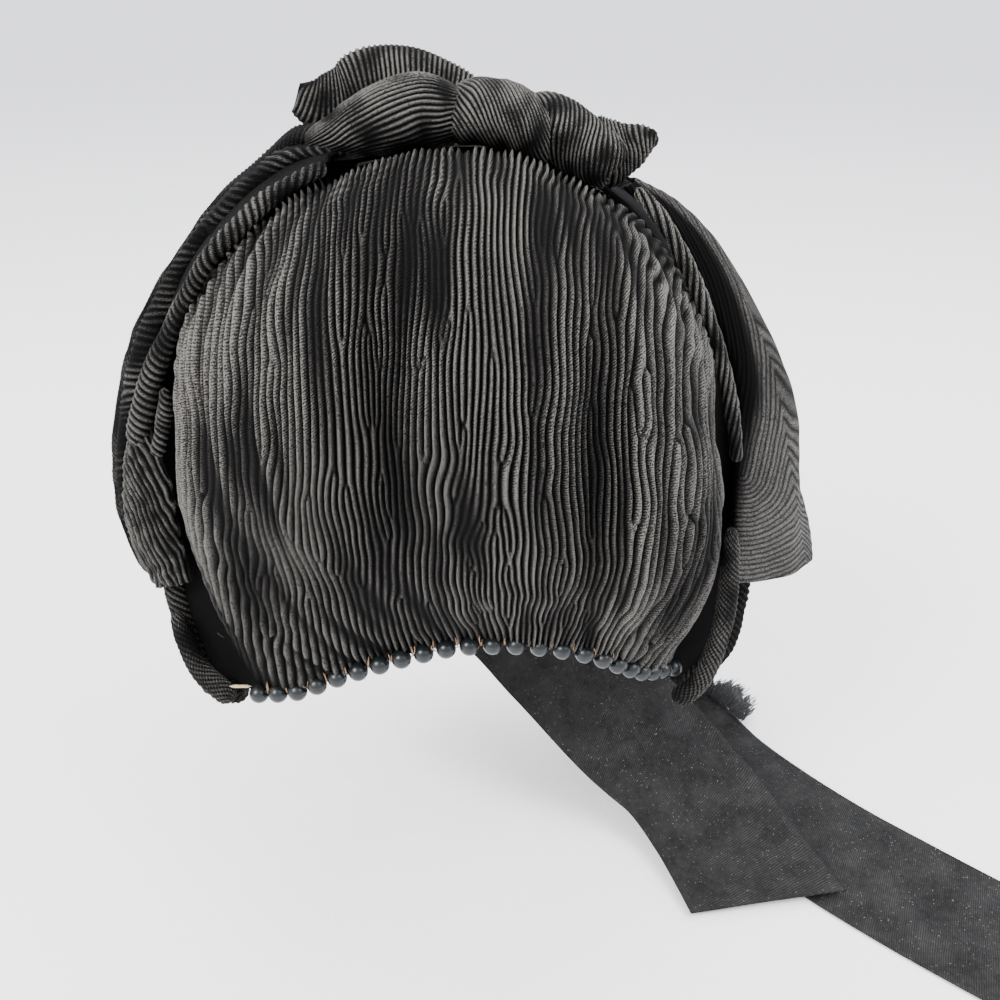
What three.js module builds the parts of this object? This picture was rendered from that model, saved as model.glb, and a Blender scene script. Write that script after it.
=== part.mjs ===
// A gathered crape bonnet with a bow, draped side folds, a row of beads and two ribbon ties.
// Millimetres. X runs to the right and Z up, seen from behind the bonnet. Y runs from the
// nape towards the face. The origin is the inside top, where the bonnet sits on a head.
import * as THREE from 'three';

// Driving dimensions
const CRAPE_WALL = 1.6;
const SHELL_WALL = 1.8;
const DRAPE_WALL = 1.5;
const RIBBON_WALL = 1;
const GAP = 0.4;
const HEM_GAP = 0.8;
const BEAD_DIAMETER = 6.7;
const BEAD_COUNT = 23;
const BEAD_SIDES = 10;
const BEAD_BANDS = 6;
const RIM_ROLL_RADIUS = 4.3;
const EAR_ROLL_RADIUS = 3.6;

// Crown panel: gathers, and how square its rounding is
const CROWN_MIDDLE_X = 4;
const CROWN_GATHERS = 34;
const CROWN_COLUMNS = 2 * CROWN_GATHERS;
const CROWN_ROWS = 10;
const GATHER_HEIGHT = 0.45;
const CROWN_FULLNESS_Y = 0.85;
const CROWN_FULLNESS_Z = 1.3;

// Fraction of a path over which its direction is taken
const STEP = 0.01;

// Colours
const CRAPE = { color: 0x1d1b1a, roughness: 0.85, metalness: 0 };
const SHELL = { color: 0x121111, roughness: 0.9, metalness: 0 };
const RIBBON = { color: 0x1b1b1c, roughness: 0.7, metalness: 0 };
const BEAD = { color: 0x15171a, roughness: 0.45, metalness: 0 };

// Bead centres along the nape, from left to right
const NAPE = [
  { x: -68.5, y: -64, z: -165.5 },
  { x: -54.7, y: -68, z: -161.5 },
  { x: -40.3, y: -69, z: -155 },
  { x: -19.8, y: -69, z: -147.6 },
  { x: 0.8, y: -69, z: -142.3 },
  { x: 22.2, y: -69, z: -141.7 },
  { x: 43, y: -68, z: -146 },
  { x: 54.2, y: -63, z: -154 },
  { x: 65, y: -54, z: -164 },
  { x: 77.6, y: -40, z: -172.7 },
];

// Crown panel from the nape up to the bow: its left edge, the middle of the back, its right edge
const CROWN = [
  { leftX: -69.5, leftY: -63, leftZ: -162, backY: -68, backZ: -138, rightX: 78.5, rightY: -40, rightZ: -169 },
  { leftX: -77, leftY: -57, leftZ: -152, backY: -80, backZ: -125, rightX: 80.5, rightY: -40, rightZ: -158 },
  { leftX: -83.5, leftY: -49, leftZ: -138, backY: -94, backZ: -106, rightX: 83, rightY: -39, rightZ: -143 },
  { leftX: -88, leftY: -42, leftZ: -120, backY: -103, backZ: -84, rightX: 85, rightY: -37, rightZ: -123 },
  { leftX: -89.5, leftY: -37, leftZ: -101, backY: -107, backZ: -61, rightX: 85, rightY: -34, rightZ: -102 },
  { leftX: -89, leftY: -33, leftZ: -82, backY: -104, backZ: -38, rightX: 83.5, rightY: -31, rightZ: -82 },
  { leftX: -86.5, leftY: -30, leftZ: -64, backY: -92, backZ: -15, rightX: 80, rightY: -29, rightZ: -65 },
  { leftX: -82.5, leftY: -28, leftZ: -48, backY: -68, backZ: 1.5, rightX: 76, rightY: -27, rightZ: -53 },
  { leftX: -77.5, leftY: -25, leftZ: -34, backY: -42, backZ: 6.5, rightX: 71.5, rightY: -24, rightZ: -42 },
  { leftX: -70, leftY: -20, leftZ: -23, backY: -12, backZ: 3.5, rightX: 65.5, rightY: -20, rightZ: -32 },
];

// Broad dents in the crown panel: place, half width, half height and depth
const DENTS = [
  { x: -14, z: -62, wide: 11, tall: 55, deep: 4.5 },
  { x: 40, z: -70, wide: 10, tall: 40, deep: 3.5 },
  { x: -62, z: -112, wide: 9, tall: 26, deep: 3 },
  { x: 66, z: -118, wide: 9, tall: 30, deep: 3 },
];

// Rim roll centre, paired with the fraction of the way round the crown panel's border
const RIM = [
  { at: 0, x: -75, y: -58, z: -170 },
  { at: 0.04, x: -89, y: -50, z: -170.5 },
  { at: 0.08, x: -97, y: -42, z: -153 },
  { at: 0.12, x: -101.5, y: -34, z: -133 },
  { at: 0.17, x: -103, y: -18, z: -104 },
  { at: 0.22, x: -101, y: 2, z: -79 },
  { at: 0.28, x: -93, y: 20, z: -56 },
  { at: 0.333, x: -80, y: 30, z: -36 },
  { at: 0.4, x: -56, y: 37, z: -16 },
  { at: 0.5, x: 2, y: 42, z: -3.5 },
  { at: 0.6, x: 58, y: 37, z: -17 },
  { at: 0.667, x: 80, y: 30, z: -36 },
  { at: 0.72, x: 93, y: 20, z: -56 },
  { at: 0.78, x: 101, y: 2, z: -79 },
  { at: 0.83, x: 104, y: -14, z: -104 },
  { at: 0.88, x: 103, y: -20, z: -135 },
  { at: 0.92, x: 101.5, y: -24, z: -156 },
  { at: 0.96, x: 97, y: -28, z: -173 },
  { at: 1, x: 84, y: -33, z: -185 },
];

// Second roll at each ear: centre
const LEFT_EAR_ROLL = [
  { x: -98, y: -48, z: -142.5 },
  { x: -94.5, y: -53, z: -150 },
  { x: -88, y: -60, z: -159.5 },
  { x: -76.5, y: -67.5, z: -165.5 },
];
const RIGHT_EAR_ROLL = [
  { x: 93, y: -43, z: -124 },
  { x: 94, y: -42, z: -144 },
  { x: 92, y: -43, z: -161 },
  { x: 86, y: -47, z: -174 },
  { x: 76.5, y: -50, z: -180 },
];

// Narrow rolls beside the crown panel: centre and radius
const LEFT_TWIST_ROLL = [
  { x: -36.5, y: -35, z: 3.5, r: 2 },
  { x: -43.2, y: -41, z: 0.6, r: 2.4 },
  { x: -53.2, y: -44, z: -5, r: 2.7 },
  { x: -61, y: -47, z: -11.4, r: 2.7 },
  { x: -68.5, y: -49.5, z: -18.2, r: 2.7 },
  { x: -76.3, y: -47, z: -27.9, r: 2.7 },
  { x: -83.2, y: -43.5, z: -38.1, r: 2.8 },
  { x: -90.3, y: -41, z: -49.7, r: 3 },
  { x: -96.5, y: -39, z: -61.6, r: 3.4 },
  { x: -101.5, y: -38.5, z: -73.1, r: 3.6 },
  { x: -105.4, y: -38, z: -84, r: 3.2 },
];
const LEFT_INNER_ROLL = [
  { x: -90.2, y: -46, z: -61, r: 2 },
  { x: -91.5, y: -45, z: -68, r: 2.4 },
  { x: -93.4, y: -44, z: -75.3, r: 2.4 },
  { x: -96.9, y: -44, z: -85.1, r: 2 },
];
const RIGHT_TWIST_ROLL = [
  { x: 53.7, y: -36, z: -2.5, r: 1.8 },
  { x: 59.7, y: -38, z: -9, r: 2.2 },
  { x: 67.6, y: -39, z: -20.5, r: 2.3 },
  { x: 73.7, y: -39, z: -32, r: 2.3 },
  { x: 79.2, y: -39, z: -44.5, r: 2.3 },
  { x: 84.7, y: -39, z: -59.3, r: 2.3 },
  { x: 89.2, y: -39, z: -74.7, r: 2.4 },
  { x: 91.8, y: -39, z: -89.7, r: 2 },
];

// Upright folds of the left drape: ridge, half thickness of the fold, its depth, and the
// heading of its depth, in degrees turned from straight ahead towards the left
const LEFT_OUTER_FOLD = [
  { x: -46.7, y: -15, z: 7, half: 2.6, deep: 10, heading: 20 },
  { x: -63.3, y: -10, z: -4.8, half: 3.2, deep: 12, heading: 10 },
  { x: -79, y: -7, z: -18, half: 3.4, deep: 13, heading: 5 },
  { x: -100.6, y: -5, z: -42, half: 3.6, deep: 12, heading: -15 },
  { x: -114.8, y: -5, z: -64.5, half: 3.8, deep: 12, heading: -35 },
  { x: -124.4, y: -7, z: -89, half: 4, deep: 14, heading: -50 },
  { x: -128.6, y: -7, z: -110, half: 4, deep: 16, heading: -60 },
  { x: -128.1, y: -11, z: -127.9, half: 3.6, deep: 15, heading: -65 },
  { x: -121.5, y: -15, z: -144, half: 2.8, deep: 10, heading: -65 },
];
const LEFT_MIDDLE_FOLD = [
  { x: -47, y: -24, z: 4, half: 2.2, deep: 6, heading: 20 },
  { x: -56, y: -25, z: -1, half: 2.6, deep: 7, heading: 20 },
  { x: -68, y: -25, z: -10, half: 3, deep: 8, heading: 15 },
  { x: -84.5, y: -24, z: -27, half: 3.4, deep: 8, heading: 10 },
  { x: -98, y: -24, z: -47, half: 3.8, deep: 8, heading: 0 },
  { x: -108.5, y: -23, z: -67, half: 4.2, deep: 8, heading: -10 },
  { x: -116.5, y: -23, z: -90, half: 4.4, deep: 8, heading: -20 },
  { x: -119.5, y: -24, z: -111, half: 4.2, deep: 8, heading: -25 },
  { x: -118, y: -26, z: -129, half: 3.4, deep: 8, heading: -35 },
];

// Broad lappets: outer edge, inner edge, how far the cloth stands out between them, and
// how far the inner edge is rolled under
const LEFT_LAPPET = [
  { outX: -109.8, outY: -33, outZ: -88.8, inX: -97.7, inY: -43, inZ: -88.5, bulge: 3, curl: 1.5 },
  { outX: -113.6, outY: -33, outZ: -103.1, inX: -94.4, inY: -45, inZ: -98.8, bulge: 4.5, curl: 1.5 },
  { outX: -114.9, outY: -33, outZ: -118.7, inX: -93.7, inY: -47, inZ: -110.9, bulge: 5, curl: 1.5 },
  { outX: -112.9, outY: -34, outZ: -131.1, inX: -92.8, inY: -48, inZ: -122.7, bulge: 4, curl: 1.2 },
  { outX: -108.2, outY: -36, outZ: -139, inX: -93, inY: -48, inZ: -131, bulge: 3, curl: 1 },
];
const RIGHT_DRAPE = [
  { outX: 53, outY: -8, outZ: -3, inX: 53.1, inY: -22, inZ: -4.5, bulge: 3, curl: 1 },
  { outX: 65, outY: -5, outZ: -11, inX: 64.4, inY: -24, inZ: -13.1, bulge: 5, curl: 2.5 },
  { outX: 78, outY: 0, outZ: -24, inX: 75.2, inY: -26, inZ: -23.7, bulge: 7, curl: 4.5 },
  { outX: 91, outY: 4, outZ: -42, inX: 84.6, inY: -27, inZ: -38.6, bulge: 9, curl: 5.5 },
  { outX: 103, outY: 6, outZ: -62, inX: 92, inY: -29, inZ: -54.5, bulge: 10, curl: 5 },
  { outX: 115, outY: 7, outZ: -86, inX: 96.3, inY: -31, inZ: -70.2, bulge: 11, curl: 4 },
  { outX: 124, outY: 5, outZ: -110, inX: 95.8, inY: -33, inZ: -84.4, bulge: 10, curl: 3 },
  { outX: 132, outY: 0, outZ: -131, inX: 95.4, inY: -35, inZ: -105.9, bulge: 7, curl: 2 },
  { outX: 135.5, outY: -5, outZ: -147, inX: 97.2, inY: -36, inZ: -138, bulge: 5, curl: 1.5 },
];

// How square a lappet's rounding is, and its rolled edge's reach outwards and back
const LAPPET_FULLNESS = 0.8;
const CURL_OUT = 0.2;
const CURL_BACK = 0.35;

// Bow pieces: centre line, with half sizes along Y and Z
const BOW_LEFT_TAIL = [
  { x: 6, y: 15, z: 16, wide: 8, tall: 6.5 },
  { x: -5, y: 13, z: 20, wide: 9, tall: 8.5 },
  { x: -18, y: 10, z: 24, wide: 9, tall: 9 },
  { x: -32, y: 6, z: 22.5, wide: 8, tall: 8 },
  { x: -48.5, y: 2, z: 18.5, wide: 5, tall: 6.5 },
];
const BOW_LEFT_PUFF = [
  { x: -4.5, y: -17, z: 15.5, wide: 11, tall: 8.4 },
  { x: -10, y: -19, z: 16, wide: 12, tall: 10.4 },
  { x: -18, y: -20, z: 15, wide: 12, tall: 10.4 },
  { x: -29, y: -19, z: 11.2, wide: 10, tall: 9 },
  { x: -39, y: -17, z: 6.5, wide: 6.5, tall: 5.6 },
  { x: -44, y: -15, z: 5, wide: 3.4, tall: 2.8 },
];
const BOW_KNOT = [
  { x: 0, y: -14, z: 15, wide: 16, tall: 8.5 },
  { x: 7, y: -15, z: 16, wide: 19, tall: 9.7 },
  { x: 16, y: -16, z: 14.5, wide: 19.5, tall: 9.7 },
  { x: 25, y: -18, z: 12, wide: 17, tall: 8.5 },
];
const BOW_RIGHT_PUFF = [
  { x: 27.5, y: -16, z: 11.5, wide: 11, tall: 8.5 },
  { x: 35, y: -17, z: 9.8, wide: 12, tall: 8.8 },
  { x: 42, y: -19, z: 6, wide: 11, tall: 8.2 },
  { x: 48, y: -22, z: 1.8, wide: 8, tall: 6.6 },
  { x: 52, y: -24, z: -2, wide: 5.5, tall: 4.4 },
];
const BOW_RIGHT_TAIL = [
  { x: 44, y: 4, z: 3, wide: 5, tall: 8.5 },
  { x: 50, y: 4, z: 3.5, wide: 6, tall: 9.5 },
  { x: 57, y: 3, z: 6, wide: 5.5, tall: 6.6 },
  { x: 63, y: 2, z: 7.5, wide: 3.5, tall: 3.4 },
];

// Rings of the bow pieces
const BOW_SIDES = 12;
const PUFF_STATIONS = 6;
const PUFF_RIB = 0.4;
const KNOT_STATIONS = 8;
const KNOT_RIB = 0.5;

// Ribbon ties: centre line, and the direction of the ribbon's width
const LEFT_TIE = [
  { x: -79, y: -44, z: -146, wideX: 0.25, wideY: 1, wideZ: 0, width: 20 },
  { x: -77, y: -32, z: -163, wideX: 0.3, wideY: 1, wideZ: 0.1, width: 26 },
  { x: -72, y: 2, z: -178, wideX: 0.3, wideY: 0.9, wideZ: 0.3, width: 44 },
  { x: -54, y: 40, z: -187, wideX: 0.3, wideY: 0.5, wideZ: 0.8, width: 58 },
  { x: -22, y: 62, z: -193, wideX: 0.15, wideY: 0.45, wideZ: 0.85, width: 62 },
  { x: 14, y: 60, z: -204, wideX: 0.2, wideY: 0.5, wideZ: 0.8, width: 62 },
  { x: 43, y: 42, z: -226, wideX: 0.4, wideY: 0.6, wideZ: 0.6, width: 62 },
  { x: 70, y: 22, z: -249, wideX: 0.7, wideY: 0.6, wideZ: 0.3, width: 62 },
  { x: 92, y: 8, z: -266, wideX: 0.86, wideY: 0.5, wideZ: 0.1, width: 60 },
  { x: 108, y: -13, z: -277, wideX: 0.95, wideY: 0.32, wideZ: 0.02, width: 62 },
  { x: 121, y: -45, z: -282.5, wideX: 1, wideY: 0.12, wideZ: 0, width: 64 },
];
// How much further the left tie's cut end reaches on its right edge
const LEFT_TIE_SLANT = 14.5;
const RIGHT_TIE = [
  { x: 82, y: -22, z: -146, wideX: -0.15, wideY: 1, wideZ: 0, width: 22 },
  { x: 83.5, y: -12, z: -168, wideX: 0.2, wideY: 1, wideZ: 0, width: 24 },
  { x: 88, y: 25, z: -191, wideX: 0.8, wideY: 0.5, wideZ: 0, width: 36 },
  { x: 94, y: 62, z: -217, wideX: 1, wideY: 0.1, wideZ: 0, width: 48 },
  { x: 97, y: 76, z: -250, wideX: 1, wideY: 0.1, wideZ: 0, width: 58 },
  { x: 98, y: 83, z: -276, wideX: 0.98, wideY: 0.3, wideZ: 0, width: 62 },
  { x: 101, y: 69, z: -284.2, wideX: 0.85, wideY: 0.55, wideZ: 0, width: 62 },
  { x: 114, y: 37, z: -284.4, wideX: 0.74, wideY: 0.67, wideZ: 0, width: 62 },
  { x: 134, y: 7, z: -284.4, wideX: 0.74, wideY: 0.67, wideZ: 0, width: 62 },
  { x: 157, y: -20, z: -284.4, wideX: 0.7, wideY: 0.71, wideZ: 0, width: 62 },
  { x: 181, y: -43, z: -284.4, wideX: 0.64, wideY: 0.77, wideZ: 0, width: 62 },
  { x: 206, y: -65, z: -284.4, wideX: 0.6, wideY: 0.8, wideZ: 0, width: 61 },
  { x: 229, y: -84, z: -284.4, wideX: 0.6, wideY: 0.8, wideZ: 0, width: 60 },
];

// Frayed tuft: locks that stand up from a strip of threads beside the right tie
const TUFT = { x: 129.5, y: 71.5, z: -282.6, length: 26, heading: -62, locks: 7, lock: 9, strip: 3 };
const BETWEEN_LOCKS = { reach: 0.45, lift: 0.6 };

// A smooth value of one column at a fraction of the way down a table
function column(rows, key, at) {
  const place = Math.min(Math.max(at, 0), 1) * (rows.length - 1);
  const i = Math.min(Math.floor(place), rows.length - 2);
  const t = place - i;
  const [a, b, c, d] = [i - 1, i, i + 1, i + 2].map(
    (k) => rows[Math.min(Math.max(k, 0), rows.length - 1)][key],
  );
  return b + 0.5 * t * (c - a + t * (2 * a - 5 * b + 4 * c - d + t * (3 * (b - c) + d - a)));
}

function point(rows, at, keys = ['x', 'y', 'z']) {
  return new THREE.Vector3(...keys.map((key) => column(rows, key, at)));
}

// The same, with the table's own column of fractions
function pointAt(rows, at) {
  let i = 0;
  while (i < rows.length - 2 && at > rows[i + 1].at) i += 1;
  const part = (at - rows[i].at) / (rows[i + 1].at - rows[i].at);
  return point(rows, (i + part) / (rows.length - 1));
}

// Unit direction of a path given as a function of its fraction
function heading(path, at) {
  const ahead = path(Math.min(at + STEP, 1));
  return ahead.sub(path(Math.max(at - STEP, 0))).normalize();
}

function closedGeometry(points, triangles) {
  const geometry = new THREE.BufferGeometry();
  geometry.setAttribute('position', new THREE.Float32BufferAttribute(points.flatMap((p) => p.toArray()), 3));
  geometry.setIndex(signedVolume(points, triangles) < 0 ? triangles.toReversed() : triangles);
  geometry.computeVertexNormals();
  return geometry;
}

function signedVolume(points, triangles) {
  let volume = 0;
  for (let i = 0; i < triangles.length; i += 3) {
    const [a, b, c] = triangles.slice(i, i + 3).map((k) => points[k]);
    volume += a.dot(new THREE.Vector3().crossVectors(b, c)) / 6;
  }
  return volume;
}

// A cloth wall: an outer face given as rows of points, and an inner face one wall behind it
function cloth(rows, wall) {
  const high = rows.length;
  const wide = rows[0].length;
  const outer = rows.flat();
  const behind = outer.map((p, k) => {
    const i = Math.floor(k / wide);
    const j = k % wide;
    const up = rows[Math.min(i + 1, high - 1)][j].clone().sub(rows[Math.max(i - 1, 0)][j]);
    const across = rows[i][Math.min(j + 1, wide - 1)].clone().sub(rows[i][Math.max(j - 1, 0)]);
    return p.clone().addScaledVector(across.cross(up).normalize(), -wall);
  });
  const triangles = [];
  const quad = (a, b, c, d) => triangles.push(a, b, c, a, c, d);
  const back = outer.length;
  for (let i = 0; i < high - 1; i += 1) {
    for (let j = 0; j < wide - 1; j += 1) {
      const k = i * wide + j;
      quad(k, k + 1, k + wide + 1, k + wide);
      quad(back + k, back + k + wide, back + k + wide + 1, back + k + 1);
    }
    const left = i * wide;
    const right = left + wide - 1;
    quad(left, left + wide, back + left + wide, back + left);
    quad(right, back + right, back + right + wide, right + wide);
  }
  for (let j = 0; j < wide - 1; j += 1) {
    const top = (high - 1) * wide + j;
    quad(j, back + j, back + j + 1, j + 1);
    quad(top, top + 1, back + top + 1, back + top);
  }
  return closedGeometry([...outer, ...behind], triangles);
}

// A solid through closed rings of points, with a flat cap at each end
function roll(rings) {
  const sides = rings[0].length;
  const points = rings.flat();
  const triangles = [];
  for (let i = 0; i < rings.length - 1; i += 1) {
    for (let j = 0; j < sides; j += 1) {
      const a = i * sides + j;
      const b = i * sides + ((j + 1) % sides);
      triangles.push(a, b, b + sides, a, b + sides, a + sides);
    }
  }
  const last = (rings.length - 1) * sides;
  for (let j = 1; j < sides - 1; j += 1) {
    triangles.push(0, j + 1, j, last, last + j, last + j + 1);
  }
  return closedGeometry(points, triangles);
}

// A crimped roll along a path, with ribs that wind round it
function crimpedRoll(path, radius, { stations, sides = 6, crimp = 0.25, twist = 0 }) {
  const rings = [];
  for (let i = 0; i <= stations; i += 1) {
    const at = i / stations;
    const along = heading(path, at);
    const side = new THREE.Vector3(0, 1, 0).cross(along).normalize();
    const out = along.clone().cross(side);
    const size = radius(at) + (i % 2 ? crimp : -crimp);
    rings.push(
      Array.from({ length: sides }, (_, j) => {
        const angle = 2 * Math.PI * (j / sides) + twist * i;
        const centre = path(at);
        centre.addScaledVector(side, size * Math.cos(angle));
        return centre.addScaledVector(out, size * Math.sin(angle));
      }),
    );
  }
  return roll(rings);
}

// Crown panel surface: across runs from left to right, rise from the nape to the bow
function crownPoint(across, rise) {
  const plain = (side, up) => {
    const angle = side * (Math.PI / 2);
    const edge = angle < 0 ? 'left' : 'right';
    const ends = point(CROWN, up, [`${edge}X`, `${edge}Y`, `${edge}Z`]);
    const depth = Math.max(Math.cos(angle), 0);
    return new THREE.Vector3(
      CROWN_MIDDLE_X + (ends.x - CROWN_MIDDLE_X) * Math.abs(Math.sin(angle)),
      ends.y + (column(CROWN, 'backY', up) - ends.y) * depth ** CROWN_FULLNESS_Y,
      ends.z + (column(CROWN, 'backZ', up) - ends.z) * depth ** CROWN_FULLNESS_Z,
    );
  };
  const side = 2 * across - 1;
  const hem = napePoint(across);
  hem.z += BEAD_DIAMETER / 2 + HEM_GAP;
  const fade = (1 - rise) ** 4;
  const placed = plain(side, rise).addScaledVector(hem.sub(plain(side, 0)), fade);
  for (const dent of DENTS) {
    const offX = (placed.x - dent.x) / dent.wide;
    const offZ = (placed.z - dent.z) / dent.tall;
    const push = dent.deep * Math.exp(-offX * offX - offZ * offZ);
    placed.y += push;
  }
  return placed;
}

// Nape line at a fraction of its length
const napeCurve = new THREE.CatmullRomCurve3(NAPE.map((row) => new THREE.Vector3(row.x, row.y, row.z)));
function napePoint(at) {
  return napeCurve.getPointAt(at);
}

function crownPanel() {
  const rows = [];
  for (let i = 0; i <= CROWN_ROWS; i += 1) {
    const rise = i / CROWN_ROWS;
    rows.push(
      Array.from({ length: CROWN_COLUMNS + 1 }, (_, j) => {
        const across = j / CROWN_COLUMNS;
        const fade = Math.min(1, 8 * Math.min(across, 1 - across));
        const lift = (j % 2 ? GATHER_HEIGHT : -GATHER_HEIGHT) * fade;
        const wide = heading((at) => crownPoint(at, rise), across);
        const tall = heading((at) => crownPoint(across, at), rise);
        return crownPoint(across, rise).addScaledVector(wide.cross(tall).normalize(), lift);
      }),
    );
  }
  return cloth(rows, CRAPE_WALL);
}

// The crown panel's border: up the left edge, over the top, down the right edge
function crownBorder(at) {
  const leg = at * 3;
  if (leg < 1) return crownPoint(0, leg);
  if (leg < 2) return crownPoint(leg - 1, 1);
  return crownPoint(1, 3 - leg);
}

const rimPath = (at) => pointAt(RIM, at);

// Stiff band between the crown panel and the rim roll
function capShell() {
  const stations = 30;
  const strips = 3;
  const trim = 0.035;
  const rows = [];
  for (let i = 0; i <= stations; i += 1) {
    const at = trim + (1 - 2 * trim) * (i / stations);
    const back = crownBorder(at);
    const front = rimPath(at);
    const span = front.clone().sub(back);
    const length = span.length();
    span.normalize();
    const from = back.addScaledVector(span, GAP + GATHER_HEIGHT);
    const width = length - 4 * GAP - GATHER_HEIGHT - RIM_ROLL_RADIUS;
    rows.push(
      Array.from({ length: strips + 1 }, (_, j) => from.clone().addScaledVector(span, (width * j) / strips)),
    );
  }
  return cloth(rows, SHELL_WALL);
}

// An upright fold: two legs joined by a round ridge that faces out
function uprightFold(table, { stations, crimp }) {
  const path = (at) => point(table, at);
  const rows = [];
  for (let i = 0; i <= stations; i += 1) {
    const at = i / stations;
    const half = column(table, 'half', at);
    const deep = column(table, 'deep', at);
    const turn = THREE.MathUtils.degToRad(column(table, 'heading', at));
    const along = heading(path, at);
    const inward = new THREE.Vector3(-Math.sin(turn), Math.cos(turn), 0);
    inward.addScaledVector(along, -inward.dot(along)).normalize();
    const side = along.clone().cross(inward);
    const swell = i % 2 ? crimp : -crimp;
    const section = [[-half, deep], [-half, half]];
    for (const step of [45, 90, 135]) {
      const angle = THREE.MathUtils.degToRad(step);
      section.push([-(half + swell) * Math.cos(angle), half - (half + swell) * Math.sin(angle)]);
    }
    section.push([half, half], [half, deep]);
    rows.push(
      section.map(([aside, back]) => path(at).addScaledVector(side, aside).addScaledVector(inward, back)),
    );
  }
  return cloth(rows, DRAPE_WALL);
}

// A broad lappet between two edges, standing out between them, its inner edge rolled under
function lappet(table, { stations, across, crimp, facing }) {
  const rows = [];
  for (let i = 0; i <= stations; i += 1) {
    const at = i / stations;
    const outer = point(table, at, ['outX', 'outY', 'outZ']);
    const inner = point(table, at, ['inX', 'inY', 'inZ']);
    const bulge = column(table, 'bulge', at);
    const curl = column(table, 'curl', at);
    const span = inner.clone().sub(outer);
    const out = facing.clone();
    const unit = span.clone().normalize();
    out.addScaledVector(unit, -out.dot(unit)).normalize();
    const swell = i % 2 ? crimp : -crimp;
    const section = [];
    for (let j = 0; j <= across; j += 1) {
      const part = j / across;
      const arch = Math.sin(Math.PI * part);
      const stand = bulge * arch ** LAPPET_FULLNESS + swell * arch;
      section.push(outer.clone().addScaledVector(span, part).addScaledVector(out, stand));
    }
    const under = inner.clone().addScaledVector(out, -curl);
    section.push(under.clone().addScaledVector(unit, CURL_OUT * curl));
    section.push(under.addScaledVector(unit, -CURL_BACK * curl).addScaledVector(out, -CURL_BACK * curl));
    rows.push(section.toReversed());
  }
  return cloth(rows, DRAPE_WALL);
}

// A puff or tail of the bow: ribbed rings along X, closed at the knot and open at the tip
function puff(table) {
  const outer = [];
  const inner = [];
  for (let i = 0; i <= PUFF_STATIONS; i += 1) {
    const at = i / PUFF_STATIONS;
    const centre = point(table, at);
    const wide = column(table, 'wide', at);
    const tall = column(table, 'tall', at);
    const along = heading((part) => point(table, part), at);
    const side = new THREE.Vector3(0, 1, 0);
    side.addScaledVector(along, -side.dot(along)).normalize();
    const up = along.clone().cross(side);
    const ring = (shrink, ripple) =>
      Array.from({ length: BOW_SIDES }, (_, j) => {
        const angle = (2 * Math.PI * j) / BOW_SIDES;
        const swell = ripple * (j % 2 ? 1 : -1) - shrink;
        const place = centre.clone().addScaledVector(side, (wide + swell) * Math.cos(angle));
        return place.addScaledVector(up, (tall + swell) * Math.sin(angle));
      });
    outer.push(ring(0, PUFF_RIB));
    inner.push(ring(DRAPE_WALL + PUFF_RIB, 0));
  }
  const rings = [...outer, ...inner.slice(1).toReversed()];
  return roll(rings);
}

// A wrapped knot: ribbed rings along X, closed at both ends
function knot(table) {
  const rings = [];
  for (let i = 0; i <= KNOT_STATIONS; i += 1) {
    const at = i / KNOT_STATIONS;
    const swell = i % 2 ? KNOT_RIB : -KNOT_RIB;
    const centre = point(table, at);
    const wide = column(table, 'wide', at) + swell;
    const tall = column(table, 'tall', at) + swell;
    rings.push(
      Array.from({ length: BOW_SIDES }, (_, j) => {
        const angle = (2 * Math.PI * j) / BOW_SIDES;
        return centre.clone().add(new THREE.Vector3(0, wide * Math.cos(angle), tall * Math.sin(angle)));
      }),
    );
  }
  return roll(rings);
}

// A flat ribbon along its centre line, turned to the table's width direction
function ribbon(table, stations, slant = 0) {
  const rows = [];
  for (let i = 0; i <= stations; i += 1) {
    const at = i / stations;
    const along = heading((part) => point(table, part), at);
    const wide = point(table, at, ['wideX', 'wideY', 'wideZ']);
    wide.addScaledVector(along, -wide.dot(along)).setLength(column(table, 'width', at));
    const cut = along.clone().setZ(0).setLength(slant * at ** 8);
    rows.push(
      [-0.5, 0, 0.5].map((part) => point(table, at).addScaledVector(wide, part).addScaledVector(cut, part + 0.5)),
    );
  }
  return cloth(rows, RIBBON_WALL);
}

// Frayed end: a thin backing strip with pointed locks that rise from it
function frayedTuft() {
  const turn = THREE.MathUtils.degToRad(TUFT.heading);
  const along = new THREE.Vector3(Math.cos(turn), Math.sin(turn), 0);
  const outward = new THREE.Vector3(-along.y, along.x, 0);
  const start = new THREE.Vector3(TUFT.x, TUFT.y, TUFT.z).addScaledVector(along, -TUFT.length / 2);
  const rows = [];
  const columns = TUFT.locks * 2;
  for (let i = 0; i <= 2; i += 1) {
    rows.push(
      Array.from({ length: columns + 1 }, (_, j) => {
        const reach = TUFT.lock * (j % 2 ? 1 : BETWEEN_LOCKS.reach);
        const lift = TUFT.lock * (j % 2 ? 1 : BETWEEN_LOCKS.lift);
        const place = start.clone().addScaledVector(along, (TUFT.length * j) / columns);
        place.addScaledVector(outward, i === 2 ? TUFT.strip + reach : TUFT.strip * i);
        place.z += RIBBON_WALL + (i === 2 ? lift : (TUFT.strip / 2) * i);
        return place;
      }),
    );
  }
  return cloth(rows, RIBBON_WALL);
}

function piece(name, geometry, look) {
  const mesh = new THREE.Mesh(geometry, new THREE.MeshStandardMaterial(look));
  mesh.name = name;
  return mesh;
}

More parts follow.
